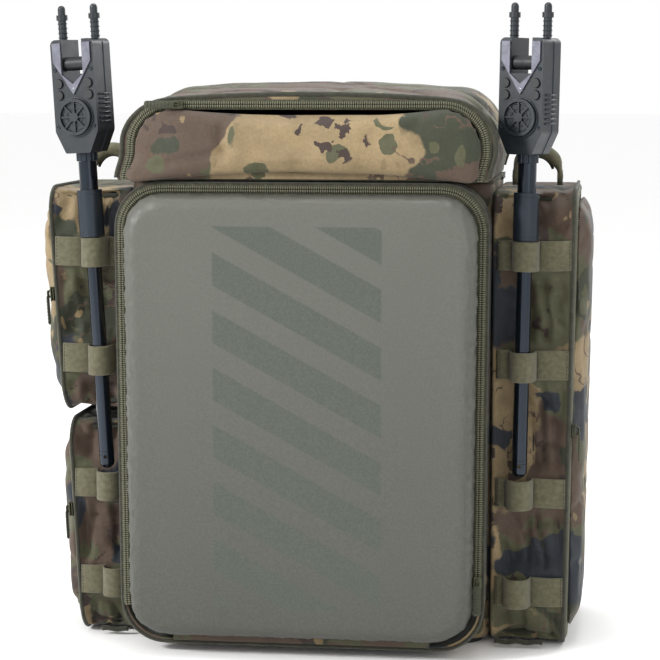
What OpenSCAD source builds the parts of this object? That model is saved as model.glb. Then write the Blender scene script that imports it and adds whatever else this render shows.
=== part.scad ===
// Tackle backpack: an angler's rucksack with a moulded front door, a zipped lid pocket,
// side pockets and two bank sticks with bite alarms in its webbing loops.
// X runs to the right seen from the front, the front faces -Y and +Z is up.
// The origin lies on the floor, under the middle of the base panel.

/* [Main compartment] */
// Width of the main compartment
pack_w = 320; // [270:1:390]
// Depth of the main compartment, front wall to back wall
pack_d = 190; // [160:1:220]
// Height of the main compartment's mouth above the floor
pack_h = 408; // [396:1:490]
// Thickness of a padded fabric wall
wall = 4; // [3:0.5:6]
// Thickness of the rubberised base panel
base_t = 4; // [3:0.5:6]

/* [Front pocket and door] */
// Depth of the front pocket
front_d = 56; // [45:1:75]
// How much narrower each side of the front pocket is at its bottom
front_taper = 3; // [0:1:8]
// How far the moulded door stands out of its zip
door_crown = 23; // [15:1:24]
// Corner radius of the front pocket
front_r = 38; // [25:1:50]

/* [Lid] */
// Height of the lid pocket at its front edge
lid_front_h = 73; // [68:1:90]
// Extra height of the lid's crest over its front edge
lid_crest = 13; // [6:1:25]
// Corner radius of the lid seen from the front
lid_r = 40; // [36:1:44]

/* [Side pockets] */
// Width of the right pocket at its top
right_top_w = 71; // [64:1:84]
// Width of the right pocket at its bottom
right_bottom_w = 65; // [58:1:74]
// Width of the left upper pocket at its top
left_top_w = 72; // [64:1:84]
// Width of the left pockets where they meet
left_mid_w = 60; // [56:1:70]
// Width of the left lower pocket at its bottom
left_bottom_w = 46; // [44:1:54]
// Height at which the two left pockets meet
left_split = 199; // [190:1:205]
// How far a stuffed side door bulges out of its zip
side_crown = 14; // [8:1:18]

/* [Back] */
// Thickness of the padded back panel
back_pad = 16; // [10:1:22]
// Width of a shoulder strap
strap_w = 62; // [50:1:75]
// Thickness of a shoulder strap
strap_t = 12; // [8:1:16]
// How far the shoulder straps stand off the back panel
strap_sag = 40; // [34:1:50]

/* [Bank sticks and alarms] */
// Diameter of the stick's tube
tube_d = 16; // [14:0.1:19.5]
// Diameter of the telescopic rod
rod_d = 13; // [11:0.5:13.5]
// Diameter of the locking collar
collar_d = 22; // [21:0.5:24]
// Length of the locking collar
collar_l = 41; // [30:1:50]
// Lean of the left stick out of the vertical
left_lean = -3.15; // [-3.6:0.05:-2.4]
// Lean of the right stick out of the vertical
right_lean = 0.95; // [0:0.05:2]
// Turn of the left alarm about its stick
left_turn = -16; // [-40:1:20]
// Turn of the right alarm about its stick
right_turn = -27; // [-40:1:20]
// Width of the alarm case
alarm_w = 42; // [38:1:50]
// Depth of the alarm case
alarm_d = 30; // [26:1:36]
// Height of the alarm case
alarm_h = 106; // [98:1:118]

/* [Fits] */
// Radial clearance of turning and telescoping pieces
run_gap = 0.08; // [0.03:0.01:0.1]
// Clearance between soft pieces that move apart
soft_gap = 0.3; // [0.2:0.05:0.5]
// Clearance of a stick in its webbing loop
loop_gap = 0.9; // [0.5:0.1:1.5]

/* [Hidden] */
$fn = 48;

CAMO = [0.42, 0.37, 0.26];
OLIVE = [0.30, 0.31, 0.22];
KHAKI = [0.42, 0.41, 0.30];
DOOR_GREY = [0.45, 0.45, 0.41];
STICK_BLUE = [0.14, 0.17, 0.21];
COLLAR_SLATE = [0.20, 0.24, 0.28];
CASE_BLACK = [0.11, 0.14, 0.15];
SILVER = [0.60, 0.60, 0.66];
RUBBER_BLACK = [0.07, 0.08, 0.08];

half_w = pack_w / 2;
back_y = 120;                      // outer face of the back wall
front_y = back_y - pack_d;         // outer face of the front wall
mouth_y = front_y - front_d;       // front face of the front pocket
body_r = 18;                       // vertical corners of the main compartment
arc_steps = 8;                     // chords in each rounded corner

// Zip: two tapes side by side, each zip_tape wide, with a slit between them
zip_tape = 4;
zip_slit = 0.5;
zip_t = 1.8;
zip_edge = 0.5;                    // from the pocket's rim to the outer tape
zip_band = zip_edge + 2 * zip_tape + zip_slit;

front_top = half_w;                // half width of the front pocket at its top
front_bottom = half_w - front_taper;
front_z0 = 9;
front_z1 = pack_h + 1;
door_y = mouth_y - soft_gap;       // inner face of the front door
door_hinge_z = front_z0 + 23;      // the door folds here, above its bottom edge
door_skin = 5;

main_zip_t = 1.2;
main_zip_gap = 0.4;
main_zip_out = 1.5;                // the main zip stands out of the walls by this much
lid_z = pack_h + 2 * main_zip_t + main_zip_gap;
lid_base_t = 3.5;
lid_wall_z = lid_z + lid_base_t;
lid_front_y = mouth_y + 2;
lid_back_y = back_y - 2;
lid_top_z = pack_h + 3 + lid_front_h;
flap_half = half_w - 4;            // outer edge of the flap's zip
flap_z0 = lid_wall_z + 1;
flap_z1 = lid_top_z - 4;
flap_t = 4.7;

side_in = half_w + soft_gap;       // inner face of the side pockets
side_y0 = front_y - 5;
side_y1 = back_y - 25;
side_z0 = 3;
side_z1 = pack_h - 6;
split_gap = 4.5;                   // half the slit between the two left pockets
side_wall = 3.5;
side_r = 24;

// One row for each side pocket: bottom height, top height, outer X at each, side of the pack
RIGHT = [side_z0, side_z1, half_w + right_bottom_w, half_w + right_top_w, 1];
LEFT_UPPER = [left_split + split_gap, side_z1, half_w + left_mid_w, half_w + left_top_w, -1];
LEFT_LOWER = [side_z0, left_split - split_gap, half_w + left_bottom_w,
              half_w + left_mid_w - 4, -1];

back_face = back_y + back_pad;
strap_x = 75;
strap_z0 = 150;
strap_z1 = pack_h - 15;
web_t = 1.8;
web_w = 25;

strip_h = 26;
strip_z = [pack_h - 62, pack_h - 157, 139, 52];
strip_in = half_w + 6;
loop_r = tube_d / 2 + loop_gap;
stick_off = collar_d / 2 + soft_gap;             // the collar just clears the pocket's face
stick_y = side_y0 - stick_off;
stick_z = strip_z[0] + strip_h / 2 + 1;          // the collar rests here, on the first strip
left_stick_x = -half_w - 30;
right_stick_x = half_w + 29;
rod_below = 206;
rod_inside = 52;
tube_l = 63;
tube_start = 3;
alarm_s = tube_start + tube_l;
nut_h = 7;
nut_r = 9.5;
stud_r = 4.75;
case_z0 = nut_h + 2 * soft_gap;
case_wall = 2.2;
roller_r = 6;
roller_z = alarm_h - 21;
axle_r = 1.5;
notch_w = 20;
notch_z = roller_z - roller_r - 3;  // floor of the roller's notch
window_x = notch_w / 2 + 0.6;
fascia_t = 1.6;
fascia_x = 18.5;
speaker_r = 16;
speaker_z = 39;
fascia_tip_z = speaker_z + speaker_r + 3.4;
dome_r = 3.8;
dome_x = 14.5;
dome_z = [58, 68];

// ---- helper shapes ----

function unit(v) = v / norm(v);

// One rounded corner: the arc of radius r that touches both edges at b
function corner(a, b, c, r) =
    let (u = unit(a - b), v = unit(c - b),
         half = acos(u * v) / 2,
         mid = b + unit(u + v) * r / sin(half),
         p = b + u * r / tan(half),
         q = b + v * r / tan(half),
         a0 = atan2(p[1] - mid[1], p[0] - mid[0]),
         a1 = atan2(q[1] - mid[1], q[0] - mid[0]),
         turn = (a1 - a0 + 540) % 360 - 180)
    [for (i = [0:arc_steps]) mid + r * [cos(a0 + turn * i / arc_steps),
                                        sin(a0 + turn * i / arc_steps)]];

// A closed outline with the corner i of pts rounded by radii[i]
function rounded(pts, radii) =
    let (n = len(pts))
    [for (i = [0:n - 1]) each corner(pts[(i + n - 1) % n], pts[i], pts[(i + 1) % n], radii[i])];

function box_outline(x0, y0, x1, y1, r) =
    rounded([[x0, y0], [x1, y0], [x1, y1], [x0, y1]], [r, r, r, r]);

// The front pocket's outline, drawn in by a margin
function front_outline(m) =
    rounded([[-front_bottom + m, front_z0 + m], [front_bottom - m, front_z0 + m],
             [front_top - m, front_z1 - m], [-front_top + m, front_z1 - m]],
            [front_r - m * 0.6, front_r - m * 0.6, front_r - m * 0.6, front_r - m * 0.6]);

// The lid flap's outline, drawn in by a margin
function flap_outline(m) =
    rounded([[-flap_half + m, flap_z0], [flap_half - m, flap_z0],
             [flap_half - m, flap_z1 - m], [-flap_half + m, flap_z1 - m]],
            [2, 2, lid_r - 2 - m * 0.6, lid_r - 2 - m * 0.6]);

// A side door's outline in its own plane (Y, height), drawn in by a margin
function side_outline(p, m, back = 0) =
    rounded([[side_y0 + m, m], [side_y1 - back, m],
             [side_y1 - back, side_l(p) - m], [side_y0 + m, side_l(p) - m]],
            [side_r - m * 0.6, 3, 3, side_r - m * 0.6]);
function side_tilt(p) = atan((p[3] - p[2]) / (p[1] - p[0]));
function side_l(p) = norm([p[3] - p[2], p[1] - p[0]]);
function side_x(p, z) = p[2] + (p[3] - p[2]) * (z - p[0]) / (p[1] - p[0]);

// A plate whose outline is seen from the front, between two Y positions
module front_plate(y_back, y_front, pts) {
    translate([0, y_back, 0]) rotate([90, 0, 0]) linear_extrude(y_back - y_front) polygon(pts);
}

// A plate whose outline is seen from the side, between two X positions
module side_plate(x0, x1, pts) {
    translate([x0, 0, 0]) rotate([90, 0, 90]) linear_extrude(x1 - x0) polygon(pts);
}

module upright(z0, z1, pts) {
    translate([0, 0, z0]) linear_extrude(z1 - z0) polygon(pts);
}

module on_side(p) {
    mirror([p[4] < 0 ? 1 : 0, 0, 0]) children();
}

// The frame of a side door: local X points out of the pocket, local Z runs up its face
module side_frame(p) {
    on_side(p) translate([p[2], 0, p[0]]) rotate([0, side_tilt(p), 0]) children();
}

// A zip slider with its pull, as two solids. Local Z points out, local Y up the zip.
slider_t = 3.6;
pull_z = 5.9;
module slider() {
    color(OLIVE) {
        linear_extrude(slider_t) polygon(box_outline(-4, -6.5, 4, 6.5, 2));
        translate([-1.1, -3.5, slider_t]) cube([2.2, 7, 2]);
    }
    color(OLIVE) translate([0, 0, pull_z]) difference() {
        linear_extrude(1.5) polygon(box_outline(-3.5, -28, 3.5, 4, 2.5));
        translate([0, -23, -1]) cylinder(r = 1.8, h = 4);
    }
}

// ---- pack ----

module main_body() {
    color(CAMO) difference() {
        upright(base_t, pack_h, box_outline(-half_w, front_y, half_w, back_y, body_r));
        upright(base_t + 3, pack_h + 1,
                box_outline(-half_w + wall, front_y + wall, half_w - wall, back_y - wall,
                            body_r - wall));
    }
}

module base_panel() {
    color(RUBBER_BLACK) upright(0, base_t,
        box_outline(-half_w + 6, front_y + 2, half_w - 6, back_y - 4, 24));
}

module frame_sheet() {
    color([0.2, 0.2, 0.2])
        front_plate(back_y - wall - soft_gap, back_y - wall - soft_gap - 3,
                    box_outline(-half_w + 22, base_t + 3 + soft_gap, half_w - 22, pack_h - 15, 20));
}

module front_pocket() {
    color(CAMO) difference() {
        front_plate(front_y, mouth_y, front_outline(0));
        front_plate(front_y - 2, mouth_y - 1, front_outline(wall));
    }
}

module side_pocket(p) {
    color(CAMO) on_side(p) difference() {
        front_plate(side_y1, side_y0, [[side_in, p[0]], [p[2], p[0]], [p[3], p[1]],
                                       [side_in, p[1]]]);
        front_plate(side_y1 - side_wall, side_y0 + side_wall,
            [[side_in + 2, p[0] + side_wall], [p[2] + 9, p[0] + side_wall],
             [p[3] + 9, p[1] - side_wall], [side_in + 2, p[1] - side_wall]]);
    }
}

module right_pocket() { side_pocket(RIGHT); }
module left_upper_pocket() { side_pocket(LEFT_UPPER); }
module left_lower_pocket() { side_pocket(LEFT_LOWER); }

// ---- back ----

back_inset = 32;
back_z0 = 34;
module back_panel() {
    color(OLIVE) front_plate(back_face, back_y,
        box_outline(-half_w + back_inset, back_z0, half_w - back_inset, strap_z1 + 4, 30));
}

strap_mid_z = (strap_z0 + strap_z1) / 2;
strap_half = (strap_z1 - strap_z0) / 2;
strap_r = (strap_half * strap_half + strap_sag * strap_sag) / (2 * strap_sag);
strap_cy = back_face + strap_t / 2 + strap_sag - strap_r;
function strap_face(z) =
    strap_cy + sqrt(pow(strap_r + strap_t / 2, 2) - pow(z - strap_mid_z, 2));

module shoulder_strap(x) {
    color(OLIVE) intersection() {
        translate([x - strap_w / 2, strap_cy, strap_mid_z]) rotate([0, 90, 0]) difference() {
            cylinder(r = strap_r + strap_t / 2, h = strap_w, $fn = 96);
            translate([0, 0, -1]) cylinder(r = strap_r - strap_t / 2, h = strap_w + 2, $fn = 96);
        }
        translate([x - strap_w, back_face, strap_z0]) cube([strap_w * 2, 100, strap_z1 - strap_z0]);
    }
}

module shoulder_strap_left() { shoulder_strap(-strap_x); }
module shoulder_strap_right() { shoulder_strap(strap_x); }

web_z0 = 44;
lock_z0 = strap_z0 - 34;
module strap_webbing() {
    for (s = [-1, 1])
        color(KHAKI) translate([s * strap_x - web_w / 2, back_face, web_z0])
            cube([web_w, web_t, strap_z0 - 6 - web_z0]);
}

lock_half = 17;                    // half the width of a ladder lock
lock_h = 33.7;
lock_t = 4.5;
bar_gap = [13, 5];                 // half width and height of each of its three slots
module ladder_locks() {
    for (s = [-1, 1])
        color(RUBBER_BLACK) translate([s * strap_x, 0, lock_z0]) difference() {
            front_plate(back_face + web_t + soft_gap + lock_t, back_face + web_t + soft_gap,
                        box_outline(-lock_half, 0, lock_half, lock_h, 4));
            for (z = [5.5, 14, 22.5])
                front_plate(back_face + 10, back_face - 1,
                            box_outline(-bar_gap[0], z, bar_gap[0], z + bar_gap[1], 1));
        }
}

chest_z = 300;
chest_h = 20;
// The strap lies on the highest line of the shoulder straps that it covers
chest_touch_z = min(max(strap_mid_z, chest_z - chest_h / 2), chest_z + chest_h / 2);
chest_y = strap_face(chest_touch_z) + 0.05;
buckle_y = chest_y + web_t / 2;
chest_end = strap_x + 24;          // each half ends on its shoulder strap
module chest_half(x0, x1) {
    color(KHAKI) translate([x0, chest_y, chest_z - chest_h / 2]) cube([x1 - x0, web_t, chest_h]);
}

buckle_h = 26;
buckle_t = 10;
prong_z = 8;                       // each prong lies this far from the strap's middle
socket_x0 = -16.7;
socket_x1 = 8;
prong_r = 3;
plug_l = 16;
module chest_strap_left() { chest_half(-chest_end, socket_x0 - soft_gap); }
module chest_strap_right() { chest_half(socket_x1 + 10, chest_end); }

module chest_buckle_socket() {
    color(RUBBER_BLACK) translate([0, buckle_y, chest_z]) difference() {
        translate([socket_x0, -buckle_t / 2, -buckle_h / 2])
            cube([socket_x1 - socket_x0, buckle_t, buckle_h]);
        for (z = [-prong_z, prong_z])
            translate([socket_x0 + 5, 0, z]) rotate([0, 90, 0]) cylinder(r = prong_r + 0.5, h = 30);
    }
}

module chest_buckle_plug() {
    color(RUBBER_BLACK) translate([0, buckle_y, chest_z]) {
        difference() {
            translate([socket_x1 + soft_gap, -buckle_t / 2, -buckle_h / 2])
                cube([plug_l, buckle_t, buckle_h]);
            translate([socket_x1 + 10 - soft_gap, -web_t / 2 - soft_gap, -chest_h / 2 - 0.7])
                cube([20, web_t + 2 * soft_gap, chest_h + 1.4]);
        }
        for (z = [-prong_z, prong_z])
            translate([socket_x0 + 7, 0, z]) rotate([0, 90, 0])
                cylinder(r = prong_r, h = socket_x1 - socket_x0 - 6);
    }
}

handle_z = strap_z1 - 11;
handle_half = 30;
handle_web = 7;
handle_reach = 44;
handle_t = 8;
handle_hang = 62;                  // the loop droops this far below the level
module haul_handle() {
    // A webbing loop that hangs from two sewn ends above the back panel's middle
    color(KHAKI) translate([0, back_face + soft_gap + handle_t / 2 * sin(handle_hang), handle_z])
        rotate([-handle_hang, 0, 0]) translate([0, 0, -handle_t / 2])
        linear_extrude(handle_t) difference() {
            polygon([for (i = [0:24]) [handle_half * cos(180 * i / 24),
                                       handle_reach * sin(180 * i / 24)]]);
            polygon([for (i = [0:24]) [(handle_half - handle_web) * cos(180 * i / 24),
                                       (handle_reach - handle_web) * sin(180 * i / 24) - 0.01]]);
        }
}

grip_x = half_w + 35;
grip_y = (side_y0 + side_y1) / 2 + 10;
grip_w = 14;
grip_rise = 26;
grip_half = 22.5;
grip_t = 5;
module side_handle(s) {
    // An arch of stiff webbing that swings on its two rolled ends
    color(KHAKI) translate([s * grip_x, grip_y, side_z1 + soft_gap + grip_w / 2]) {
        front_plate(grip_w / 2, -grip_w / 2, concat(
            [for (i = [0:24]) [grip_half * cos(180 * i / 24), grip_rise * sin(180 * i / 24)]],
            [for (i = [24:-1:0]) [(grip_half - grip_t) * cos(180 * i / 24),
                                  (grip_rise - grip_t) * sin(180 * i / 24)]]));
        for (x = [-grip_half, grip_half - grip_t])
            translate([x, 0, 0]) rotate([0, 90, 0]) cylinder(r = grip_w / 2, h = grip_t);
    }
}

module side_handle_left() { side_handle(-1); }
module side_handle_right() { side_handle(1); }

// ---- webbing strips that hold the sticks ----

module stick_frame(side) {
    translate([side < 0 ? left_stick_x : right_stick_x, stick_y, stick_z])
        rotate([0, side < 0 ? left_lean : right_lean, 0]) children();
}

past = 500;                        // a cut of this length passes the whole pack
module webbing_strips(side, upper, lower) {
    for (i = [0:3]) {
        z = strip_z[i];
        p = i < 2 ? upper : lower;
        edge = side_x(p, z - strip_h / 2) - 1.5;
        color(KHAKI) difference() {
            union() {
                on_side(p) translate([strip_in, side_y0 - web_t, z - strip_h / 2])
                    cube([edge - strip_in, web_t, strip_h]);
                intersection() {
                    stick_frame(side) translate([0, 0, -past]) union() {
                        cylinder(r = loop_r + web_t, h = 2 * past);
                        translate([-loop_r - web_t, 0, 0])
                            cube([2 * (loop_r + web_t), stick_off, 2 * past]);
                    }
                    translate([-past, side_y0 - 40, z - strip_h / 2]) cube([2 * past, 40, strip_h]);
                }
            }
            stick_frame(side) translate([0, 0, -past]) cylinder(r = loop_r, h = 2 * past);
            stick_frame(side) translate([-loop_r, 0, -past]) cube([2 * loop_r, stick_off + 3, 2 * past]);
        }
    }
}

module left_webbing() { webbing_strips(-1, LEFT_UPPER, LEFT_LOWER); }
module right_webbing() { webbing_strips(1, RIGHT, RIGHT); }

// ---- zips ----

// A U-shaped tape on a rim: left, front and right, open at the back
module main_tape(z0) {
    out = half_w + main_zip_out;
    color(OLIVE) difference() {
        upright(z0, z0 + main_zip_t, box_outline(-out, front_y + 0.2, out, back_y + 30, body_r));
        upright(z0 - 1, z0 + 2 * main_zip_t,
                box_outline(-out + 6.5, front_y + 6.7, out - 6.5, back_y + 20, body_r - 6));
        translate([-half_w * 2, lid_back_y - 10, z0 - 1]) cube([pack_w * 2, 80, 5]);
    }
}

module main_zip_tape() { main_tape(pack_h); }

module front_tape(m, y) {
    color(OLIVE) difference() {
        front_plate(y, y - zip_t, front_outline(m));
        front_plate(y + 1, y - zip_t - 1, front_outline(m + zip_tape));
        translate([-half_w * 2, y - 10, -1]) cube([pack_w * 2, 20, door_hinge_z + 4]);
    }
}

module front_zip_tape() { front_tape(zip_edge, mouth_y); }
module front_door_zip() { front_tape(zip_edge + zip_tape + zip_slit, door_y); }

module side_tape(p, m, x) {
    side_frame(p) color(OLIVE) difference() {
        side_plate(x, x + zip_t, side_outline(p, m, -20));
        side_plate(x - 1, x + zip_t + 1, side_outline(p, m + zip_tape, -40));
        translate([-10, side_y1 - 8, -50]) cube([30, 90, 600]);
    }
}

module side_zip_tapes() {
    for (p = [RIGHT, LEFT_UPPER, LEFT_LOWER]) side_tape(p, zip_edge, 0);
}

// ---- doors ----

module front_door() {
    color(DOOR_GREY) difference() {
        hull() {
            front_plate(door_y, door_y - 4, front_outline(zip_band));
            front_plate(door_y - door_crown + 2, door_y - door_crown, front_outline(zip_band + 16));
        }
        hull() {
            front_plate(door_y + 0.01, door_y - 2, front_outline(zip_band + door_skin));
            front_plate(door_y - door_crown + door_skin + 2, door_y - door_crown + door_skin,
                        front_outline(zip_band + 18));
        }
    }
}

module side_door(p) {
    color(CAMO) side_frame(p) difference() {
        hull() {
            side_plate(soft_gap, soft_gap + 2.5, side_outline(p, zip_band, 2));
            side_plate(side_crown - 1, side_crown, side_outline(p, zip_band + 14, 14));
        }
        hull() {
            side_plate(soft_gap - 1, soft_gap, side_outline(p, zip_band + side_wall, 6));
            side_plate(side_crown - side_wall - 1, side_crown - side_wall,
                       side_outline(p, zip_band + 16, 16));
        }
    }
    side_tape(p, zip_edge + zip_tape + zip_slit, soft_gap);
}

module right_door() { side_door(RIGHT); }
module left_upper_door() { side_door(LEFT_UPPER); }
module left_lower_door() { side_door(LEFT_LOWER); }

// ---- lid ----

module lid_base() {
    color(CAMO) upright(lid_z, lid_wall_z,
        box_outline(-half_w, lid_front_y, half_w, lid_back_y, body_r - 6));
}

module lid_block(m) {
    intersection() {
        front_plate(lid_back_y - m, lid_front_y + m, rounded(
            [[-half_w + m, lid_wall_z], [half_w - m, lid_wall_z], [half_w - m, lid_top_z - m],
             [0, lid_top_z + lid_crest + 4 - m], [-half_w + m, lid_top_z - m]],
            [0.5, 0.5, lid_r - m, 300, lid_r - m]));
        side_plate(-half_w + m, half_w - m, rounded(
            [[lid_front_y + m, lid_wall_z], [lid_back_y - m, lid_wall_z],
             [lid_back_y - m, lid_top_z - 12 - m], [20, lid_top_z + lid_crest - m],
             [lid_front_y + m, lid_top_z + 1 - m]],
            [0.5, 0.5, 20 - m, 200, 10 - m]));
    }
}

module lid_pocket() {
    color(CAMO) difference() {
        lid_block(0);
        translate([0, 0, -wall]) lid_block(wall);
        translate([0, 0, -wall * 2]) lid_block(wall);
        front_plate(lid_front_y + wall + 1, lid_front_y - 1, flap_outline(zip_band + 4));
    }
}

module flap_tape(m, y) {
    color(OLIVE) difference() {
        front_plate(y, y - zip_t, flap_outline(m));
        front_plate(y + 1, y - zip_t - 1, flap_outline(m + zip_tape));
        translate([-half_w * 2, y - 10, flap_z0 - 5]) cube([pack_w * 2, 20, 8]);
    }
}

module lid_zip_tapes() {
    main_tape(pack_h + main_zip_t + main_zip_gap);
    flap_tape(0, lid_front_y);
}

module lid_flap_zip() { flap_tape(zip_tape + zip_slit, lid_front_y - soft_gap); }

module lid_flap() {
    color(CAMO) front_plate(lid_front_y - soft_gap, lid_front_y - soft_gap - flap_t,
                            flap_outline(2 * zip_tape + zip_slit));
}

// ---- sliders ----

slider_lift = zip_t + 2 * soft_gap;
slider_line = zip_edge + zip_tape + zip_slit / 2;    // the slit between the two tapes
front_slope = atan((front_top - front_bottom) / (front_z1 - front_z0));
front_park_z = 70;
module front_slider() {
    x = front_bottom + (front_park_z - front_z0) * tan(front_slope) - slider_line;
    translate([x, mouth_y - slider_lift, front_park_z]) rotate([0, front_slope, 0])
        rotate([90, 0, 0]) slider();
}

lid_park_x = -105;
module lid_slider() {
    // On the straight top run, with its pull lying along the tape
    translate([lid_park_x, lid_front_y - slider_lift, flap_z1 - zip_tape - zip_slit / 2])
        rotate([90, 0, 0]) rotate([0, 0, -90]) slider();
}

main_park_y = back_y - 32;
module main_slider() {
    translate([-half_w - main_zip_out - soft_gap, main_park_y, pack_h + main_zip_t + main_zip_gap / 2])
        rotate([90, 0, -90]) rotate([0, 0, -90]) slider();
}

module side_slider(p, z) {
    side_frame(p) translate([slider_lift, side_y0 + slider_line, z - p[0]])
        rotate([90, 0, 90]) slider();
}

right_park_z = 194;
left_upper_park_z = 308;
left_lower_park_z = 114;
module right_slider() { side_slider(RIGHT, right_park_z); }
module left_upper_slider() { side_slider(LEFT_UPPER, left_upper_park_z); }
module left_lower_slider() { side_slider(LEFT_LOWER, left_lower_park_z); }

// ---- bank sticks and alarms ----

module stick_tube(side) {
    color(STICK_BLUE) stick_frame(side) translate([0, 0, tube_start]) difference() {
        cylinder(r = tube_d / 2, h = tube_l);
        translate([0, 0, -1]) cylinder(r = rod_d / 2 + run_gap, h = rod_inside + 2);
        translate([0, 0, tube_l - 9]) cylinder(r = stud_r + run_gap, h = 10);
    }
}

module stick_collar(side) {
    color(COLLAR_SLATE) stick_frame(side) difference() {
        cylinder(r = collar_d / 2, h = collar_l);
        translate([0, 0, tube_start - soft_gap])
            cylinder(r = tube_d / 2 + run_gap, h = collar_l);
        translate([0, 0, -1]) cylinder(r = rod_d / 2 + run_gap, h = 10);
    }
}

module stick_rod(side) {
    color(STICK_BLUE) stick_frame(side) translate([0, 0, -rod_below]) difference() {
        union() {
            translate([0, 0, rod_d / 2]) cylinder(r = rod_d / 2, h = rod_below + rod_inside - rod_d / 2);
            intersection() {
                translate([0, 0, rod_d / 2]) sphere(r = rod_d / 2);
                cylinder(r = rod_d, h = rod_d / 2);
            }
        }
        translate([0, 0, 11]) rotate([90, 0, 0]) translate([0, 0, -20]) cylinder(r = 1.6, h = 40);
    }
}

module alarm_frame(side) {
    stick_frame(side) translate([0, 0, alarm_s]) rotate([0, 0, side < 0 ? left_turn : right_turn])
        children();
}

// The case's front outline, drawn in by a margin
function case_outline(m) =
    rounded([[-12 + m, case_z0 + m], [12 - m, case_z0 + m], [alarm_w / 2 - m, case_z0 + 19],
             [alarm_w / 2 - m, alarm_h - m], [-alarm_w / 2 + m, alarm_h - m],
             [-alarm_w / 2 + m, case_z0 + 19]],
            [2, 2, 8, 5, 5, 8]);
ear_x = 16;
ear_r = 3.6;
ear_h = 17;                        // plain shank, below the ring and the tip
ear_peg_r = 2.42;
case_y0 = -alarm_d / 2;

module alarm_case(side) {
    color(CASE_BLACK) alarm_frame(side) difference() {
        union() {
            front_plate(alarm_d / 2, case_y0, case_outline(0));
            translate([0, 0, -8]) cylinder(r = stud_r, h = case_z0 + 9);
        }
        // the hollow for the circuit board, battery and keypad
        intersection() {
            front_plate(alarm_d / 2 - case_wall, case_y0 + case_wall, case_outline(case_wall));
            translate([-50, -50, 14]) cube([100, 100, roller_z - roller_r - 20]);
        }
        // the notch that the roller turns in
        translate([-notch_w / 2, -50, notch_z]) cube([notch_w, 100, 60]);
        // bores for the roller's axle and the two ears
        translate([-notch_w / 2 - 4, case_y0 + 8, roller_z]) rotate([0, 90, 0])
            cylinder(r = axle_r + run_gap, h = notch_w + 8);
        for (s = [-1, 1])
            translate([s * ear_x, 0, alarm_h - 6]) cylinder(r = ear_peg_r + run_gap, h = 10);
        for (s = [-1, 1], z = dome_z)
            translate([s * dome_x, case_y0 + case_wall + 1, z]) rotate([90, 0, 0])
                cylinder(r = dome_r + 0.4, h = 10);
    }
}

module alarm_fascia(side) {
    // A silver V that frames the roller's window
    color(SILVER) alarm_frame(side)
        front_plate(case_y0, case_y0 - fascia_t, [
            [-fascia_x, alarm_h - 3], [-window_x, alarm_h - 3],
            [-window_x, notch_z], [0, fascia_tip_z + 9], [window_x, notch_z],
            [window_x, alarm_h - 3], [fascia_x, alarm_h - 3], [fascia_x, roller_z + 2],
            [0, fascia_tip_z], [-fascia_x, roller_z + 2]]);
}

module alarm_roller(side) {
    color(RUBBER_BLACK) alarm_frame(side) translate([0, case_y0 + 8, roller_z]) rotate([0, 90, 0]) {
        translate([0, 0, -notch_w / 2 + 0.4]) cylinder(r = roller_r, h = notch_w - 0.8);
        translate([0, 0, -notch_w / 2 - 3]) cylinder(r = axle_r, h = notch_w + 6);
    }
}

module alarm_ears(side) {
    for (s = [-1, 1])
        color(CASE_BLACK) alarm_frame(side) translate([s * ear_x, 0, alarm_h]) {
            translate([0, 0, -5.5]) cylinder(r = ear_peg_r, h = 6);
            translate([0, 0, 0.05]) cylinder(r = ear_r, h = ear_h);
            translate([0, 0, ear_h]) cylinder(r = ear_r + 1.3, h = 4.5);
            translate([0, 0, ear_h + 4.5]) cylinder(r = ear_r - 0.3, h = 5);
            translate([0, 0, ear_h + 9.5]) sphere(r = ear_r - 0.3);
        }
}

module alarm_keypad(side) {
    // One silicone moulding: a web behind the front wall and four domes through it
    color(RUBBER_BLACK) alarm_frame(side) {
        translate([-dome_x - 4.2, case_y0 + case_wall + soft_gap, dome_z[0] - 4.5])
            cube([2 * dome_x + 8.4, 1.2, dome_z[1] - dome_z[0] + 9]);
        for (s = [-1, 1], z = dome_z)
            translate([s * dome_x, case_y0 + case_wall + soft_gap + 0.5, z]) rotate([90, 0, 0])
                cylinder(r = dome_r, h = case_wall + 2.6);
    }
}

module alarm_speaker(side) {
    color(CASE_BLACK) alarm_frame(side) translate([0, case_y0, speaker_z]) rotate([90, 0, 0]) {
        difference() {
            cylinder(r = speaker_r, h = 4);
            translate([0, 0, 1.5]) cylinder(r = speaker_r - 2.8, h = 4);
        }
        translate([0, 0, 1.2]) cylinder(r = 4, h = 2.6);
        for (i = [0:7])
            rotate([0, 0, 45 * i]) translate([3, -0.7, 1.2]) cube([speaker_r - 4.5, 1.4, 2]);
    }
}

module alarm_nut(side) {
    color(COLLAR_SLATE) alarm_frame(side) translate([0, 0, soft_gap]) difference() {
        cylinder(r = nut_r, h = nut_h);
        translate([0, 0, -1]) cylinder(r = stud_r + run_gap, h = nut_h + 2);
        for (i = [0:11])
            rotate([0, 0, 30 * i]) translate([nut_r + 0.6, 0, -1]) cylinder(r = 1.4, h = nut_h + 2);
    }
}

// ---- parts ----

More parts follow.
